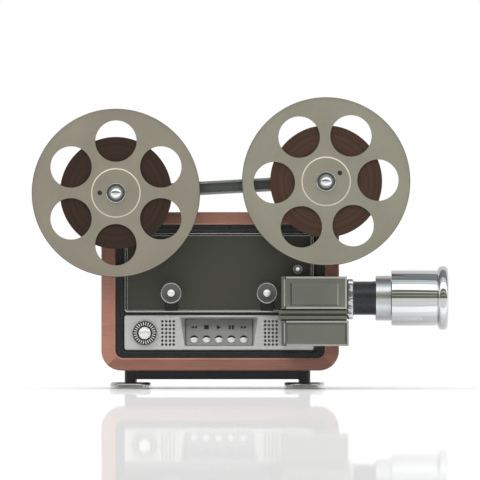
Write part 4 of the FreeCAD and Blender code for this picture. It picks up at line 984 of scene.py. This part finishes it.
def make_lens():
    """Ribbed tube, grooved focus ring, barrel with a rolled rim, and two glass elements."""
    axis = (0, LENS_Y, LENS_Z)
    ribs = grooves(120.8, 140.9, 1.6, ((0, 18.2), (0.25, 17.6), (0.85, 17.55), (1.15, 18.1), (1.3, 18.2)))
    tube = [(115.0, 10.5), (115.0, 12.0), (119.8, 12.0), (119.8, 18.0), (120.0, 18.2), *ribs, (142.9, 18.2),
            (143.1, 18.0), (143.1, 17.0), (183.7, 17.0), (184.0, 16.7), (184.0, 10.5), (115.0, 10.5)]
    body = turned("lens_body_tube", axis, "X", tube, 96)
    dress(body, "lens_black")
    place_piece(body, "lens_tube")
    grip = grooves(145.2, 157.6, 0.9, ((0, 23.95), (0.3, 23.8), (0.6, 23.8), (0.75, 23.95)))
    ring = [(143.4, 17.05), (143.4, 23.0), *arc((144.2, 23.15), 0.8, 180, 90, 4), *grip,
            *arc((158.8, 23.15), 0.8, 90, 0, 4), (159.6, 17.05), (143.4, 17.05)]
    place_piece(turned("focus_grip", axis, "X", ring, 128), "focus_ring")
    front = [*arc((213.8, 28.5), 5.3, 160, 90, 8), *arc((215.4, 29.0), 4.8, 90, 0, 9)]
    barrel = [(160.0, 17.05), (160.0, 28.9), *arc((160.5, 28.9), 0.5, 180, 90, 4), (206.9, 29.4),
              (207.3, 29.2), (208.0, 29.1), *front, (220.2, 28.4), (219.2, 26.8), (217.9, 25.2),
              (216.4, 24.3), (187.0, 24.05), (187.0, 17.05), (160.0, 17.05)]
    place_piece(turned("lens_outer_barrel", axis, "X", barrel, 128), "lens_barrel")
    glasses = []
    for back, edge in ((205.0, 5.0), (191.0, 3.0)):
        rim = back + edge
        outline = [(back, 0), (back, 23.7), (back + 0.3, 24.0), (rim, 24.0), *dome(rim, 23.8, 3.0, 12)]
        glasses.append(turned("glass", axis, "X", outline, 96, 40))
    place_piece(joined("lens_elements", glasses), "lens_glass")


# ---------------------------------------------------------------- underside
def make_underside():
    """Four round posts on turned foot discs."""
    disc = [(0.0, 0), (0.0, 21.0), (0.6, 21.6), *arc((4.4, 20.0), 1.6, 90, 0, 5), (5.7, 17.5), (5.7, 8.0),
            (6.0, 7.4), (6.0, 0)]
    post = [(6.0, 0), (6.0, 6.0), (6.2, 6.2), (19.4, 6.2), (19.6, 6.0), (19.6, 0)]
    feet = []
    legs = []
    for y in LEG_Y:
        for x in LEG_X:
            feet.append(turned("foot", (x, y, 0), "Z", disc, 96))
            legs.append(turned("leg", (x, y, 0), "Z", post, 64))
    place_piece(joined("foot_discs", feet), "feet", finish="foot_metal")
    place_piece(joined("leg_posts", legs), "legs")


def ring_frame(name, low, high, width, corner):
    """A flat rectangular ring with round corners."""
    ring = block(name, low, high, corner, ease_r=0)
    inset = Vector((width, -1, width))
    hole = block("hole", Vector(low) + inset, Vector(high) - inset, max(0.4, corner - width), ease_r=0)
    carve(ring, hole)
    return ease(ring, 0.1)


def make_window_rings():
    """Dark ring in the gap as painted shade, and a bright inner bead, between the trim and the main panel."""
    gap = ring_frame("panel_gap_shade", (-121.2, -31.35, 83.4), (77.0, -31.0, 164.3), 1.3, 2.2)
    place_piece(gap, finish="dark_steel", body="case", slot="black_frame")
    bead = ring_frame("panel_bead", (-119.9, -31.6, 83.4), (75.7, -31.0, 163.0), 0.6, 1.6)
    place_piece(bead, finish="bright_trim", body="case", slot="bright_trim")


def make_rail_back():
    """Dark filler behind the rails, between the two housings."""
    back = block("rail_back", (43.0, -77.6, 72.8), (112.6, -76.4, 85.2), 0.5, "Y", 0.2)
    pick_front(back, lambda c, n: n.y < -0.9)
    bpy.ops.mesh.inset(thickness=1.0 * MM)
    bpy.ops.mesh.extrude_region_move(TRANSFORM_OT_translate={"value": (0, 0.0004, 0)})
    bpy.ops.object.mode_set(mode="OBJECT")
    place_piece(clean(back), finish="pedestal_paint", body="case", slot="pedestal_paint")


def ease_the_rest():
    """Nodes whose shape is right, with their edges rounded."""
    widths = {"panel_trim": 0.2, "button_plate": 0.3, "arm_channel": 0.5, "arm_towers": 0.8,
              "roller_brackets": 0.5, "gate_housing": 0.4, "guide_rails": 0.4, "lower_housing": 0.4,
              "lens_mount_plate": 0.4, "rear_cover": 0.4, "cover_screws": 0.12, "mains_inlet": 0.4,
              "base_bars": 0.8}
    for node, width in widths.items():
        finish = "lens_plate" if node == "lens_mount_plate" else None
        place_piece(eased_node(node, width), node, finish=finish)


# ---------------------------------------------------------------- studio
# Cards round the studio: how far round from the front horizon, over the top, to the back one, and the colour.
CARD_STOPS = (
    (0.0, (0.15, 0.15, 0.12)), (0.052, (0.17, 0.17, 0.14)), (0.064, (0.50, 0.47, 0.36)),
    (0.077, (0.15, 0.15, 0.12)), (0.115, (0.14, 0.14, 0.11)), (0.132, (0.80, 0.78, 0.66)),
    (0.150, (0.16, 0.16, 0.13)), (0.188, (0.18, 0.18, 0.15)), (0.205, (1.5, 1.5, 1.5)),
    (0.33, (1.5, 1.5, 1.5)), (0.355, (0.42, 0.50, 0.53)), (0.385, (0.95, 1.0, 1.0)),
    (0.41, (0.40, 0.47, 0.50)), (0.44, (0.75, 0.8, 0.8)), (0.462, (0.20, 0.215, 0.215)),
    (0.60, (0.24, 0.255, 0.25)), (0.675, (0.22, 0.23, 0.23)), (0.70, (0.68, 0.67, 0.67)),
    (0.95, (0.75, 0.75, 0.75)), (0.985, (1.02, 1.02, 1.02)))


def add_key_light(aim, strength):
    """One broad, even light from the front, high on the left; polished parts don't mirror it."""
    lamp = bpy.data.lights.new("key_light", "SUN")
    lamp.angle = math.radians(35)
    lamp.energy = strength
    thing = bpy.data.objects.new("key_light", lamp)
    thing.rotation_euler = Vector(aim).to_track_quat("-Z", "Y").to_euler()
    thing.visible_glossy = False
    bpy.context.scene.collection.objects.link(thing)


def floor():
    """White floor with a faint mirror."""
    let_go()
    bpy.ops.mesh.primitive_plane_add(size=80.0, location=(0, 0, 0))
    piece = called("floor")
    p = Paint("floor_white")
    dull = p.node("ShaderNodeBsdfDiffuse", None, {"Color": (0.80, 0.80, 0.80, 1)})
    gloss = p.node("ShaderNodeBsdfGlossy", None, {"Color": (1, 1, 1, 1), "Roughness": 0.02})
    p.node_out(p.node("ShaderNodeMixShader", None, {0: 0.36, 1: dull, 2: gloss}))
    piece.data.materials.append(p.material)


def surround():
    """Soft light all round, stronger from above, with banded cards for polished metal to show."""
    world = bpy.data.worlds.new("surround")
    bpy.context.scene.world = world
    p = Paint("surround", world)
    x, y, z = p.axes(p.node("ShaderNodeTexCoord", output="Generated"))
    share = p.maths("ARCTAN2", z, 0 - y) * (1 / math.pi)
    bands = p.node("ShaderNodeValToRGB", {"stops": CARD_STOPS}, {0: share})
    cards = p.mix(p.span(x, -0.9, 0.9), (0.8, 0.8, 0.8), (1.2, 1.2, 1.2))
    cards = p.node("ShaderNodeVectorMath", {"operation": "MULTIPLY"}, {0: bands, 1: cards})
    level = z * 1.15 + 0.40
    soft = p.node("ShaderNodeCombineXYZ", None, {0: level, 1: level, 2: level})
    ray = p.node("ShaderNodeLightPath", output="Is Camera Ray")
    seen = p.mix(ray.other("Is Diffuse Ray"), cards, soft)
    seen = p.mix(ray, seen, (1.0, 1.0, 1.0))
    glow = p.node("ShaderNodeBackground", None, {"Color": seen, "Strength": 1.0})
    out = p.tree.nodes.new("ShaderNodeOutputWorld")
    p.tree.links.new(glow.socket, out.inputs["Surface"])


def camera():
    """Level and far away, so that nearly nothing converges."""
    lens = 800.0
    sensor = 36.0
    width = 0.5077
    eye = bpy.data.cameras.new("camera")
    eye.lens = lens
    eye.sensor_width = sensor
    eye.clip_end = 200.0
    thing = bpy.data.objects.new("camera", eye)
    thing.location = (0.0, -width * lens / sensor - 0.06, 0.158)
    thing.rotation_euler = (math.radians(90), 0, 0)
    bpy.context.scene.collection.objects.link(thing)
    bpy.context.scene.camera = thing


# ---------------------------------------------------------------- making
make_reels()
make_rollers()
make_dial()
make_buttons()
make_tray()
make_symbols()
make_bezel()
make_boards()
make_fascia()
make_doors()
make_lens()
make_underside()
make_window_rings()
make_rail_back()
ease_the_rest()
bpy.context.scene.view_settings.view_transform = "Standard"
floor()
surround()
add_key_light((0.32, 0.5, -0.8), 0.8)
camera()
